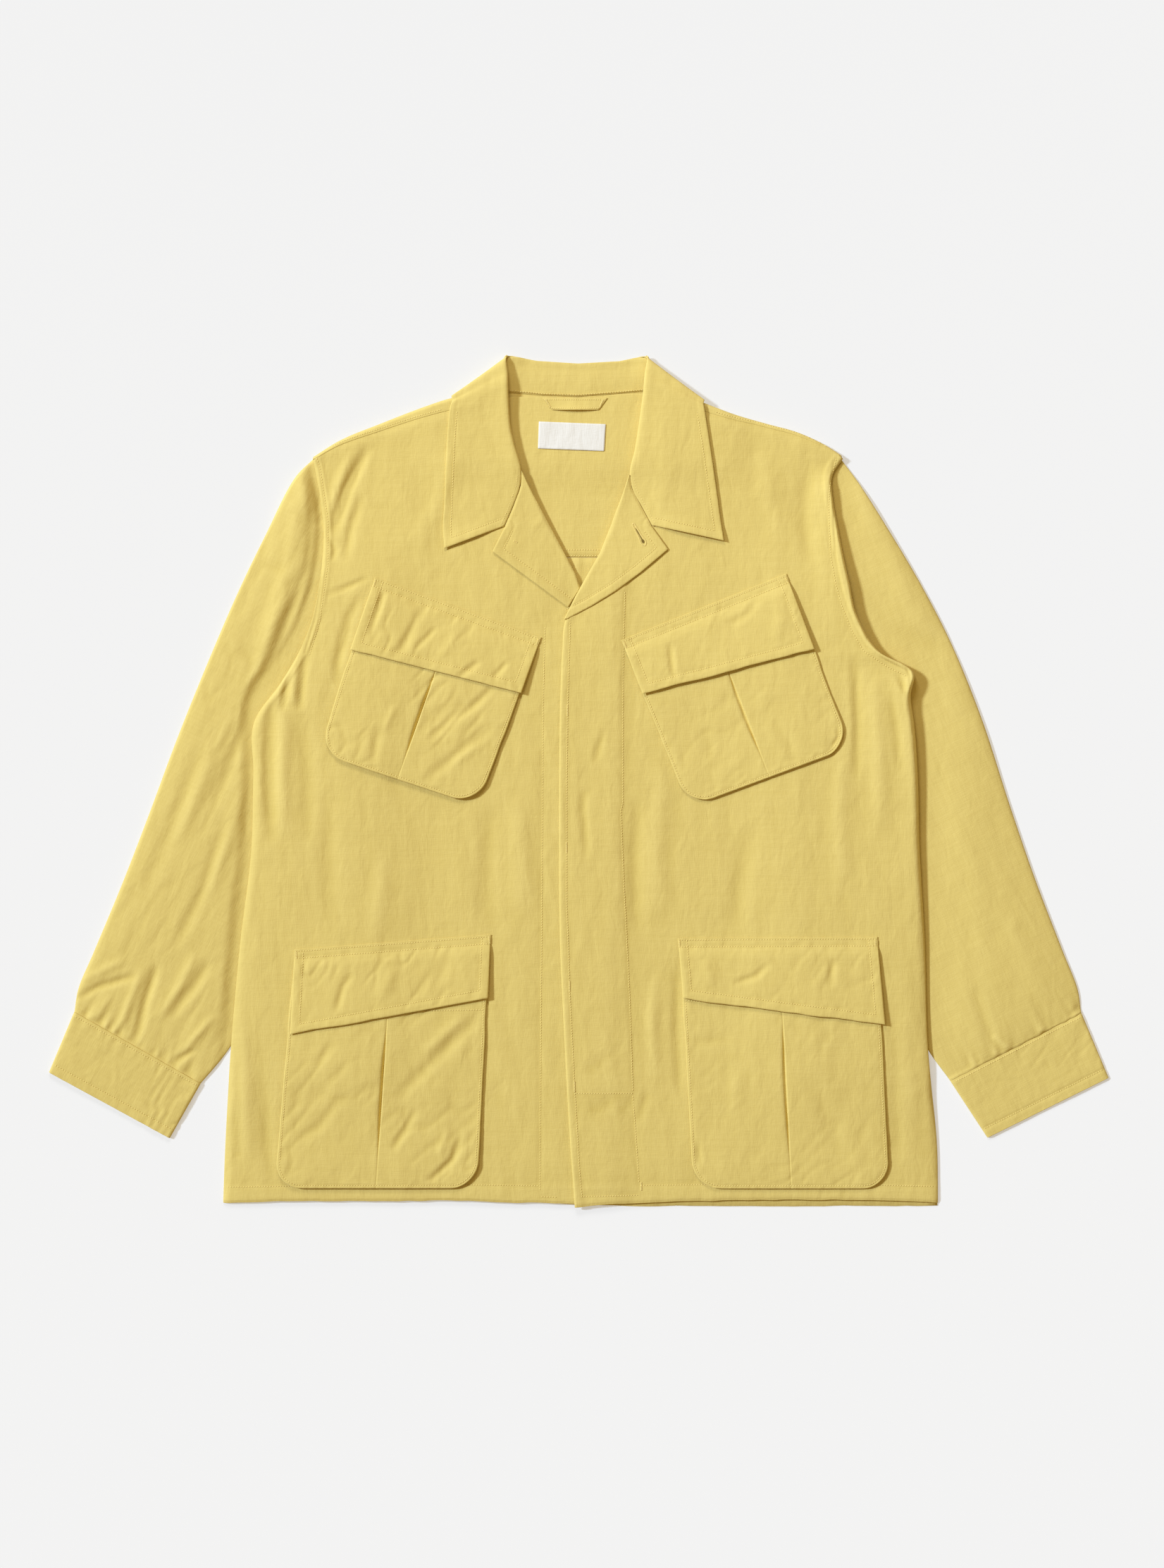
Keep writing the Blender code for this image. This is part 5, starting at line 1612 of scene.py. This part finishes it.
@dataclass
class Collar:
    """The collar: its fall, which rolls over to the fronts, and the stand below the roll.

    The roll's own columns come first, with how far each lies below the crown of the roll on the fronts and
    how high it stands behind the neck.
    """

    rows: int = 270
    end_rows: Row = (0.012, 0.04, 0.09, 23.91, 23.96, 23.988)
    columns: int = 34
    roll_down: Row = (5.8, 5.2, 4.1, 2.9, 1.8, 0.9, 0.35, 0.1, 0.0)
    roll_up: Row = (2.2, 2.0, 1.6, 1.1, 0.5, 0.1, 0.0, 0.0, 0.0)
    right_puff: float = 1.8
    stitch_in: float = 7.0
    stitch_width: float = 1.2
    edge_radius: float = 1.2
    fall_wall: float = 1.1
    stand_rows: int = 145
    stand_columns: int = 24
    stand_wall: float = 0.8

    def fall(self) -> ClothPiece:
        """The fall, on the fronts at the sides and under the yoke at the back, with a rounded roll.

        Returns:
            The piece.
        """
        sections = through_rows(FALL, self.rows, self.end_rows)
        roll, edge = sections[:, 0:2], sections[:, 2:4]
        way = edge - roll
        width = np.linalg.norm(way, axis=1)[:, None]
        top = np.clip(sections[:, 4:5], 0.0, 1.0)
        behind = 1.0 - top
        lip = [2.4 - 1.6 * behind, 1.1 - 0.8 * behind, 0.3 - 0.2 * behind, 0.0 * behind, 0.4 + 0.0 * behind]
        spread = np.append(np.linspace(0.0, 0.97, self.columns - 3), (0.985, 0.994, 1.0))
        reach = np.concatenate((*lip, 1.4 + spread[None] * (width - 1.4)), axis=1)
        xy = roll[:, None] + way[:, None] * (reach / width)[..., None]
        x, y = xy[..., 0], xy[..., 1]
        rolled = 0.3 + 0.7 * smooth(roll[:, 1:2], 262.0, 300.0)
        flat = np.zeros(self.columns - 4)
        down = np.concatenate((self.roll_down, flat))
        up = np.concatenate((self.roll_up, flat)) * (1.0 + 0.6 * smooth(np.abs(roll[:, 0:1]), 44.0, 63.0))
        z = top * (LAY.fronts(x, y) + LAY.step - down * rolled) + behind * up
        z = z + LAY.puff(roll[:, 1:2], reach) * top * np.where(roll[:, 0:1] < 0.0, self.right_puff, 1.0)
        ends = [np.array(row[:4]).reshape(2, 2) for row in (FALL[0], FALL[-1])]
        at_end = np.minimum(*(path_distance(end, x, y)[0] for end in ends))
        border = np.minimum(width - reach, at_end)
        z = z + top * (0.25 * ease_off(border, 7.0, 10.0) + 0.5 * crinkle(x, y, 5.0))
        z = z - top * 0.45 * bell(border - self.stitch_in, self.stitch_width)
        z = z - top * 0.5 * edge_round(border, self.edge_radius)
        z = z + top * 1.4 * ease_off(at_end, 0.0, 16.0) * smooth(reach / width, 0.1, 0.5)
        crown = 1.7 * smooth(reach / width, 0.02, 0.4) - 0.6 * smooth(reach / width, 0.45, 1.0)
        z = z + top * crown * smooth(x, 0.0, 60.0)
        return ClothPiece("collar_fall", with_height(xy, z), wall=self.fall_wall, held="folded")

    def stand(self) -> ClothPiece:
        """The stand between the neck seam and the roll, arched over the fall at the back.

        Returns:
            The piece.
        """
        sections = straight_rows(STAND, self.stand_rows)
        share = np.linspace(0.0, 1.0, self.stand_columns)
        xy = ruled(sections, share)
        top = sections[:, 4:5]
        on_front = LAY.fronts(xy[..., 0], xy[..., 1]) - 0.5
        arch = LAY.fall_room + 0.9 * np.sin(np.pi * share) + 0.8 * smooth(share, 0.75, 1.0)
        arch = arch + 2.0 * smooth(np.abs(xy[..., 0]), 46.0, 64.0) * share
        z = top * on_front + (1.0 - top) * arch
        return ClothPiece("collar_stand", with_height(xy, z), wall=self.stand_wall, face_up=False,
                          held="folded")

    def dress(self) -> None:
        """Build and dress both, with the stitches along the fall's edges, the gorge and the neck seam."""
        fall = self.fall()
        fall.orient()
        thread = Thread(fall, "collar_thread")
        table = np.array(FALL)
        right_edge = np.concatenate((table[:1, 0:2], table[:7, 2:4]))
        thread.sew(move_aside(right_edge, -self.stitch_in))
        left_edge = np.concatenate((table[:17:-1, 2:4][::-1], table[-1:, 0:2]))
        thread.sew(move_aside(left_edge, -self.stitch_in))
        thread.sew(table[:4, 0:2] + np.array((-3.0, 1.2)))
        thread.sew(table[-4:, 0:2] + np.array((3.0, 1.2)))
        thread.build()
        fall.dress(["front_right", "front_left", "floor"])
        stand = self.stand()
        inside = stand.grid + np.array((0.0, 0.0, self.stand_wall))
        seam = Thread(stand, "neck_seam_thread", inside)
        seam.sew(((-63.0, 354.6), (-32.6, 351.6), (-0.6, 350.5), (31.4, 352.9), (59.0, 355.2)))
        seam.build()
        stand.dress(["yoke"])


def strip_sides(start: Span, end: Span, share: Row, half: Row) -> tuple[Array, Array]:
    """Places on the right and left of a straight strip, from half its width at shares of its length."""
    step = np.array(end) - np.array(start)
    line = np.array(start) + step * np.array(share)[:, None]
    aside = left_of(step / np.linalg.norm(step)) * np.array(half)[:, None]
    return line - aside, line + aside


@dataclass
class Lapel:
    """One lapel, turned back at its roll on to the front."""

    side: Side
    table: Table
    lift: float
    rows: int = 150
    columns: int = 30
    roll_out: Row = (0.2, -0.5, -0.6, -0.1)
    roll_rise: Row = (-3.2, -2.2, -1.0, -0.3)
    stitch_in: float = 8.0
    stitch_width: float = 1.2
    edge_radius: float = 1.2
    wall: float = 1.1
    gorge_rows: int = 4

    def build(self) -> ClothPiece:
        """The lapel's shell, with a rounded roll and a stitched border.

        Returns:
            The piece.
        """
        sections = straight_rows(self.table, self.rows)
        way = sections[:, 2:4] - sections[:, 0:2]
        width = np.linalg.norm(way, axis=1)[:, None]
        lip = np.array(self.roll_out)[None] + 0.0 * width
        spread = np.append(np.linspace(0.06, 0.97, self.columns - 3), (0.985, 0.994, 1.0))
        reach = np.concatenate((lip, spread[None] * width), axis=1)
        xy = sections[:, None, 0:2] + way[:, None] * (reach / width)[..., None]
        x, y = xy[..., 0], xy[..., 1]
        curl = np.concatenate((self.roll_rise, np.zeros(self.columns)))
        wide = smooth(width, 6.0, 26.0)
        z = LAY.top(self.side, x, y) + LAY.step + curl * (0.4 + 0.6 * wide)
        z = z + LAY.puff(sections[:, 1:2], reach)
        outline = np.array(self.table)[:, 2:4]
        border, _ = path_distance(outline[self.gorge_rows - 1:], x, y)
        gorge, _ = path_distance(outline[:self.gorge_rows], x, y)
        z = z + 0.2 * ease_off(border, 8.0, 11.0) + 0.5 * crinkle(x, y, 6.0)
        z = z - 0.45 * bell(border - self.stitch_in, self.stitch_width)
        z = z - 0.6 * bell(gorge, self.stitch_width)
        z = z - 0.5 * edge_round(border, self.edge_radius)
        z = z + self.lift * wide * smooth(reach / width, 0.45, 1.0) * smooth(gorge, 4.0, 22.0)
        return ClothPiece("facing_" + self.side.word, with_height(xy, z), wall=self.wall, held="folded")

    def dress(self) -> None:
        """Build, sew and dress the lapel, with the left one's buttonhole or the right one's button tack."""
        piece = self.build()
        piece.orient()
        thread = Thread(piece)
        outline = np.array(self.table)[self.gorge_rows - 1:, 2:4]
        thread.sew(move_aside(outline, -self.side.value * self.stitch_in))
        if self.side is Side.LEFT:
            self.buttonhole(thread)
            # The buttonhole's opening is a strip of painted shade
            piece.sewing.append(self.slit(piece))
        else:
            thread.tack(((-58.4, 217.6), (-55.6, 216.4)), 2.4)
        thread.build()
        piece.dress(["front_" + self.side.word])

    def buttonhole(self, thread: Thread) -> None:
        """Close stitches all round the slit, wider round its keyhole end."""
        right, left = strip_sides((49.4, 233.6), (60.6, 213.6), (0.0, 0.05, 0.3, 0.6, 0.74, 0.84, 0.93, 1.0),
                                  (0.1, 1.0, 1.3, 1.5, 2.2, 2.4, 1.9, 0.1))
        thread.tack(np.concatenate((right, left[::-1])), 1.5)

    def slit(self, piece: ClothPiece) -> Object:
        """The buttonhole's opening as a strip of painted shade: narrow, widening to a round end.

        Args:
            piece: the lapel that it lies on.

        Returns:
            The object.
        """
        sides = strip_sides((51.6, 229.6), (59.4, 215.8),
                            (0.0, 0.1, 0.3, 0.5, 0.74, 0.8, 0.86, 0.92, 0.97, 1.0),
                            (0.05, 0.3, 0.4, 0.35, 0.45, 0.9, 1.2, 1.2, 0.8, 0.1))
        xy = np.stack(sides, axis=1).reshape(-1, 2)
        points = np.column_stack((xy, height_on(piece.grid, xy) + 0.25))
        first = 2 * np.arange(len(sides[0]) - 1)
        quads = np.stack((first, first + 1, first + 3, first + 2), axis=1)
        # Painted shade: a dark strip laid just over the lapel where the buttonhole opens
        return quad_mesh("buttonhole_slit_shade", points, quads[:, ::-1], BUTTONHOLE_SHADE.material())


@dataclass
class Pocket:
    """A patch pocket on its folded gusset, with an inverted pleat, and the flap sewn above it."""

    place: str
    flap_corners: Path
    bag_corners: Path
    mouth: Path = ()
    flap_gap: float = 1.5
    lift: float = 3.3
    creased: float = 1.0
    corner: float = 25.0
    mouth_lift: float = 1.6
    base_lift: float = 1.2
    bulge: float = 1.0
    pleat_depth: float = 2.6
    edge_columns: Row = (0.0, 0.5, 1.2, 2.2, 3.4)
    pleat_columns: Row = (-6.0, -3.6, -2.0, -1.1, -0.6, -0.25, 0.0)
    bag_stitch: float = 2.6
    gusset_in: Row = (11.0, 5.0, 2.2, 1.7, 2.1, 5.0)
    gusset_rise: Row = (0.42, 0.42, 0.44, 0.6, 0.8, 0.84)
    stitch_in: float = 8.0
    top_stitch: float = 1.8
    edge_radius: float = 1.2
    bag_wall: float = 0.7
    gusset_wall: float = 0.4
    flap_wall: float = 0.6

    @property
    def side(self) -> Side:
        """The side that it is sewn on, from its place."""
        return Side[self.place.split("_")[1].upper()]

    def bag_rows(self, straight: int, turned: int) -> tuple[Array, Array]:
        """Left and right ends of the bag's rows, mouth to base, with rounded lower corners.

        Args:
            straight: rows above the corners.
            turned: rows round the corners.

        Returns:
            The rows' ends, and each row's share of the way down.
        """
        mouth_l, mouth_r, base_r, base_l = np.array(self.bag_corners)
        depth = np.linalg.norm((base_l + base_r - mouth_l - mouth_r) / 2.0)
        turn = np.radians(np.linspace(0.0, 90.0, turned))
        level = 1.0 - self.corner / depth
        down = np.concatenate((np.linspace(0.0, level, straight)[:-1],
                               1.0 - self.corner * (1.0 - np.sin(turn)) / depth))
        inset = np.concatenate((np.zeros(straight - 1), self.corner * (1.0 - np.cos(turn))))[:, None]
        ends_l = mouth_l + (base_l - mouth_l) * down[:, None]
        ends_r = mouth_r + (base_r - mouth_r) * down[:, None]
        way = unit(ends_r - ends_l)
        return np.concatenate((ends_l + way * inset, ends_r - way * inset), axis=1), down

    def bag(self) -> ClothPiece:
        """The bag: raised on its gusset, crowned, open along its pleat and dipped along its stitches.

        Returns:
            The piece.
        """
        sections, down = self.bag_rows(62, 22)
        width = section_widths(sections)
        part = (np.linspace(5.2, 1.0, 40)[None] - 1.0) / 4.2
        inner = (5.2 / width) * part + (0.5 - 9.0 / width) * (1.0 - part)
        fold = np.array(self.pleat_columns)[None] / width
        half = np.concatenate((np.array(self.edge_columns)[None] / width, inner, 0.5 + fold), axis=1)
        share = np.concatenate((half, 1.0 - half[:, -2::-1]), axis=1)
        xy = ruled(sections, share)
        xy[..., 0] += 0.5 * sway(xy[..., 1], 52.0) * np.abs(2.0 * share - 1.0) ** 3
        x, y = xy[..., 0], xy[..., 1]
        depth = np.linalg.norm(sections[-1, 0:2] - sections[0, 0:2])
        border = np.minimum(np.minimum(share, 1.0 - share) * width, (1.0 - down)[:, None] * depth)
        apart = (share - 0.5) * width
        open_pleat = (smooth(down, 0.25, 0.5) * ease_off(down, 0.62, 0.9))[:, None]
        slit = bell(apart, np.where(apart > 0.0, 0.3, 0.8 + 0.9 * open_pleat))
        crown = np.sin(np.pi * share) ** 0.6 * np.sin(np.pi * np.clip(down, 0.03, 0.97))[:, None] ** 0.6
        rise = self.mouth_lift + (self.lift - self.mouth_lift) * smooth(down, 0.0, 0.5)
        rise = rise + self.base_lift * smooth(down, 0.6, 1.0)
        z = rise[:, None] + self.bulge * crown
        z = z - (0.3 + self.pleat_depth * open_pleat) * slit
        z = z - 0.35 * bell(border - self.bag_stitch, 0.9) - 0.6 * edge_round(border, self.edge_radius)
        z = z + 0.85 * self.creased * folds(x, y, 45.0, 34.0, 11.0, 51.0) * smooth(border, 1.0, 7.0)
        z = z + relief(POCKET_CREASES, x, y) + 0.5 * crinkle(x, y, 15.0) * smooth(border, 2.0, 9.0)
        z = z + 0.25 * value_noise(x / 4.0, y / 4.0, 53.0) * bell(border - 4.0, 5.0)
        z = np.maximum(z, 1.0) + LAY.top(self.side, x, y)
        return ClothPiece("pocket_" + self.place, with_height(xy, z), wall=self.bag_wall)

    def gusset(self) -> ClothPiece:
        """The folded strip under the sides and base of the bag, open inwards.

        Returns:
            The piece.
        """
        sections, _ = self.bag_rows(20, 10)
        base = ruled(sections[-1:], np.linspace(0.0, 1.0, 24))[0, 1:-1]
        path = np.concatenate((sections[:, 0:2], base, sections[::-1, 2:4]))
        inwards = left_of(unit(np.gradient(path, axis=0)))
        xy = path[:, None] + inwards[:, None] * np.array(self.gusset_in)[:, None]
        z = LAY.top(self.side, xy[..., 0], xy[..., 1]) + np.array(self.gusset_rise)
        return ClothPiece("gusset_" + self.place, with_height(xy, z), wall=self.gusset_wall, held="folded")

    def flap(self) -> ClothPiece:
        """The flap: sewn down along its top, then over the bag, with a raised, stitched border.

        Returns:
            The piece.
        """
        top_l, top_r, base_r, base_l = np.array(self.flap_corners)
        down = np.concatenate(((0.0, 0.01, 0.025), np.linspace(0.05, 0.95, 40), (0.975, 0.99, 0.997, 1.0)))
        ends = np.concatenate((top_l + (base_l - top_l) * down[:, None],
                               top_r + (base_r - top_r) * down[:, None]), axis=1)
        share = np.concatenate(((0.0, 0.003, 0.008), np.linspace(0.02, 0.98, 96), (0.992, 0.997, 1.0)))
        xy = ruled(ends, share)
        xy[..., 1] += 0.8 * sway(xy[..., 0], 61.0) * down[:, None] ** 2
        x, y = xy[..., 0], xy[..., 1]
        depth = np.linalg.norm(base_l - top_l) * (1.0 - share) + np.linalg.norm(base_r - top_r) * share
        below = down[:, None] * depth
        border = np.minimum(share, 1.0 - share) * section_widths(ends)
        border = np.minimum(border, (1.0 - down)[:, None] * depth)
        full = 0.9 * self.lift + self.bulge * np.sin(np.pi * share) ** 0.6 + self.flap_gap - 1.6
        z = 0.8 + 1.5 * smooth(below, 4.0, 18.0) + full * down[:, None]
        z = z + 0.3 * ease_off(border, 7.5, 10.0) - 0.4 * bell(border - self.stitch_in, 1.5)
        z = z - 0.35 * bell(below - self.stitch_in, 1.5) - 0.3 * bell(below - self.top_stitch, 0.9)
        z = z - 0.6 * edge_round(border, self.edge_radius) * smooth(below, 4.0, 10.0)
        seam = np.minimum(np.abs(border - self.stitch_in), np.abs(below - self.stitch_in))
        z = z + 0.3 * value_noise(x / 4.0, y / 4.0, 63.0) * bell(seam, 4.0)
        ripple = folds(x, y, 62.0, 26.0, 9.0, 62.0) * smooth(below, 3.0, 12.0)
        z = z + 0.85 * self.creased * ripple * smooth(border, 0.0, 4.0)
        z = z + relief(FLAP_CREASES, x, y) * smooth(below, 4.0, 14.0) + 0.4 * crinkle(x, y, 21.0)
        z = np.maximum(z, 0.7) + LAY.top(self.side, x, y)
        return ClothPiece("flap_" + self.place, with_height(xy, z), wall=self.flap_wall)

    def dress(self) -> None:
        """Build and dress the gusset, the bag and the flap, and sew the bag and the flap."""
        front = "front_" + self.side.word
        self.gusset().dress([front])
        bag = self.bag()
        bag.orient()
        sections, _ = self.bag_rows(30, 14)
        outline = np.concatenate((sections[6:, 0:2], sections[:5:-1, 2:4]))
        thread = Thread(bag)
        thread.sew(move_aside(outline, self.bag_stitch))
        if self.mouth:
            thread.sew(self.mouth)
        thread.build()
        bag.dress(["gusset_" + self.place, front])
        flap = self.flap()
        flap.orient()
        thread = Thread(flap)
        self.sew_flap(thread)
        thread.build()
        flap.dress(["pocket_" + self.place, front])

    def sew_flap(self, thread: Thread) -> None:
        """Sew round the flap and twice along its top, with a tack at each end of those two rows.

        Args:
            thread: the flap's sewing.
        """
        corners = np.array(self.flap_corners)
        ring = np.concatenate((corners[-1:], corners, corners[:1]))
        inner = move_aside(ring, -self.stitch_in)[1:5]
        up = [(corners[k] - corners[3 - k]) / np.linalg.norm(corners[k] - corners[3 - k]) for k in (0, 1)]
        rise = self.stitch_in - self.top_stitch
        thread.sew(np.stack((inner[1] + up[1] * rise, inner[2], inner[3], inner[0] + up[0] * rise)))
        rows = [move_aside(corners[:2], -inset) for inset in (self.top_stitch, self.stitch_in)]
        for row in rows:
            thread.sew(row)
        for end, other in ((0, 1), (1, 0)):
            way = (corners[other] - corners[end]) / np.linalg.norm(corners[other] - corners[end])
            thread.tack([row[end] + way * 1.6 for row in rows])


POCKETS = (
    Pocket("chest_right",
           ((-184.3, 184.6), (-33.9, 130.2), (-51.8, 80.3), (-206.7, 119.4)),
           ((-190.5, 166.5), (-40.0, 113.3), (-92.1, -22.2), (-235.6, 25.3))),
    Pocket("chest_left",
           ((39.0, 127.7), (188.2, 187.8), (213.8, 120.0), (58.2, 79.0)),
           ((45.6, 111.0), (194.6, 171.0), (246.6, 30.8), (99.4, -23.8)),
           flap_gap=2.8, lift=1.9, creased=0.4),
    Pocket("hip_right",
           ((-257.3, -152.6), (-79.4, -139.2), (-81.9, -196.2), (-261.0, -229.4)),
           ((-258.4, -171.0), (-81.0, -158.0), (-91.6, -369.0), (-275.7, -369.0)),
           ((-148.5, -208.3), (-86.5, -207.2)), lift=2.7),
    Pocket("hip_left",
           ((90.2, -142.4), (270.7, -141.1), (277.8, -220.5), (94.7, -196.8)),
           ((92.5, -160.0), (271.6, -159.0), (282.0, -369.3), (104.0, -369.3)),
           ((97.0, -198.6), (140.0, -202.4)), flap_gap=2.2, lift=2.0, creased=0.5),
)


@dataclass
class NeckTrim:
    """The hanger loop and the blank label on the inside of the yoke."""

    loop: Table = ((-32.6, 347.5, 26.2, 347.5), (-23.7, 337.0, 18.6, 337.0))
    label: Table = ((-35.8, 326.2, 24.6, 323.8), (-36.6, 302.0, 23.2, 299.6))
    rows: int = 20
    columns: int = 48
    rise: float = 1.7
    wall: float = 0.6

    def patch(self, node: str, corners: Table, crown: float, finish: ClothFinish) -> ClothPiece:
        """A four-cornered piece on the yoke, a little crowned.

        Args:
            node: name of its solid.
            corners: ends of its upper and its lower edge.
            crown: rise in the middle of its lower edge.
            finish: its cloth.

        Returns:
            The piece.
        """
        share = np.linspace(0.0, 1.0, self.columns)
        xy = ruled(straight_rows(corners, self.rows), share)
        down = np.linspace(0.0, 1.0, self.rows)[:, None]
        z = LAY.yoke(xy[..., 0], xy[..., 1]) + self.rise + crown * np.sin(np.pi * share) * down ** 2
        return ClothPiece(node, with_height(xy, z), wall=self.wall, finish=finish)

    def dress(self) -> None:
        """Build and dress both, and sew the loop."""
        loop = self.patch("hanger_loop", self.loop, 2.4, COTTON)
        loop.orient()
        thread = Thread(loop)
        upper, lower = np.array(self.loop)
        for down in (0.14, 0.86):
            thread.sew((upper * (1.0 - down) + lower * down).reshape(2, 2), 2.0)
        thread.tack(((-29.5, 346.0), (-25.5, 339.5)))
        thread.tack(((22.5, 346.0), (19.5, 339.5)))
        thread.build()
        loop.dress(["yoke"])
        self.patch("label", self.label, 0.3, LABEL).dress(["yoke"], "label")


@dataclass
class Studio:
    """White, faintly glowing floor, camera straight above, and the lights.

    They are a low sun from the upper left, a lamp beyond the collar and an even, warm fill, with a pale
    backdrop that only the camera sees.
    """

    floor_size: float = 8.0
    floor_drop: float = 0.2
    floor_glow: float = 0.365
    lens: float = 90.0
    sensor: float = 36.0
    sight: float = 100.0
    sun_strength: float = 2.45
    sun_angle: float = 0.13
    sun_height: float = 36.0
    sun_turn: float = -20.0
    sun_colour: Colour = (1.0, 1.193, 1.476)
    fill: float = 0.367
    fill_colour: Colour = (1.0, 0.75, 0.38)
    backdrop: float = 0.887
    lamp_place: tuple[float, float, float] = (-0.3, 1.45, 1.3)
    lamp_share: float = 0.18
    lamp_power: float = 41.5
    lamp_radius: float = 0.35

    def floor(self) -> None:
        """The floor, just below the cloth."""
        half = self.floor_size / 2.0 / MM
        corners = half * np.array(((-1.0, -1.0, 0.0), (1.0, -1.0, 0.0), (1.0, 1.0, 0.0), (-1.0, 1.0, 0.0)))
        corners[:, 2] = -self.floor_drop
        quad_mesh("floor", corners, np.array(((0, 1, 2, 3),)), self.floor_paint())

    def floor_paint(self) -> Material:
        """White that evens out the lamp's falloff, so that the floor shows one tone, and glows a little.

        The lamp's light goes as the cube of the nearness, so the tone is divided by one part of that cube
        and by the rest as it is.

        Returns:
            The material.
        """
        material = FLOOR.material()
        tree = material.node_tree
        place = add_node(tree, "ShaderNodeTexCoord")
        apart = add_node(tree, "ShaderNodeVectorMath", {0: place.outputs["Object"], 1: self.lamp_place},
                         operation="DISTANCE")
        far = add_math(tree, "DIVIDE", apart.outputs["Value"], Vector(self.lamp_place).length)
        light = add_math(tree, "MULTIPLY_ADD", add_math(tree, "POWER", far, -3.0), self.lamp_share,
                         1.0 - self.lamp_share)
        set_inputs(tree, tree.nodes["Principled BSDF"], {
            "Base Color": add_math(tree, "DIVIDE", FLOOR.colour[0], light),
            "Emission Color": (1.0, 1.0, 1.0, 1.0), "Emission Strength": self.floor_glow,
        })
        return material

    def camera(self) -> None:
        """The camera, above the middle of the picture and far enough to see its whole height."""
        middle = PHOTO.place(((PHOTO.size[0] / 2.0, PHOTO.size[1] / 2.0),))[0] - CENTRE[:2]
        data = bpy.data.cameras.new("camera")
        data.lens = self.lens
        data.sensor_fit = "VERTICAL"
        data.sensor_height = self.sensor
        data.clip_end = self.sight
        made = add_object("camera", data)
        far = PHOTO.size[1] * PHOTO.scale * MM * self.lens / self.sensor
        made.location = (middle[0] * MM, middle[1] * MM, far)
        bpy.context.scene.camera = made

    def sun(self) -> None:
        """The low sun, turned from its height and its direction on the floor."""
        height, turn = np.radians(self.sun_height), np.radians(self.sun_turn)
        way = Vector((np.cos(height) * np.cos(turn), np.cos(height) * np.sin(turn), -np.sin(height)))
        data = bpy.data.lights.new("sun", "SUN")
        data.energy = self.sun_strength
        data.angle = self.sun_angle
        data.color = self.sun_colour
        add_object("sun", data).rotation_euler = way.to_track_quat("-Z", "Y").to_euler()

    def lamp(self) -> None:
        """The lamp beyond the collar."""
        data = bpy.data.lights.new("lamp", "POINT")
        data.energy = self.lamp_power
        data.shadow_soft_size = self.lamp_radius
        add_object("lamp", data).location = self.lamp_place

    def world(self) -> None:
        """The fill, and the backdrop in its place where the camera looks past the floor."""
        world = bpy.data.worlds.new("fill")
        world.use_nodes = True
        tree = world.node_tree
        light = tree.nodes["Background"]
        set_inputs(tree, light, {"Color": (*self.fill_colour, 1.0), "Strength": self.fill})
        pale = (self.backdrop, self.backdrop, self.backdrop, 1.0)
        seen = add_node(tree, "ShaderNodeBackground", {"Color": pale})
        path = add_node(tree, "ShaderNodeLightPath")
        choice = add_node(tree, "ShaderNodeMixShader",
                          {0: path.outputs["Is Camera Ray"], 1: light.outputs[0], 2: seen.outputs[0]})
        set_inputs(tree, tree.nodes["World Output"], {"Surface": choice.outputs[0]})
        bpy.context.scene.world = world

    def build(self) -> None:
        """Floor, camera, lights and plain colours."""
        self.floor()
        self.camera()
        self.sun()
        self.lamp()
        self.world()
        bpy.context.scene.view_settings.view_transform = "Standard"


def main() -> None:
    """Build the jacket from the floor up, then the studio."""
    logging.basicConfig(level=logging.INFO)
    bpy.ops.wm.read_factory_settings(use_empty=True)
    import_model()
    BackAndYoke().dress()
    for sleeve in SLEEVES:
        sleeve.dress()
    Front(Side.RIGHT, FRONT_RIGHT, RIGHT_SEAMS).dress()
    Front(Side.LEFT, FRONT_LEFT, LEFT_SEAMS).dress()
    Lapel(Side.RIGHT, LAPEL_RIGHT, 1.1).dress()
    Lapel(Side.LEFT, LAPEL_LEFT, 0.4).dress()
    Collar().dress()
    for pocket in POCKETS:
        pocket.dress()
    NeckTrim().dress()
    Studio().build()


if __name__ == "__main__":
    main()
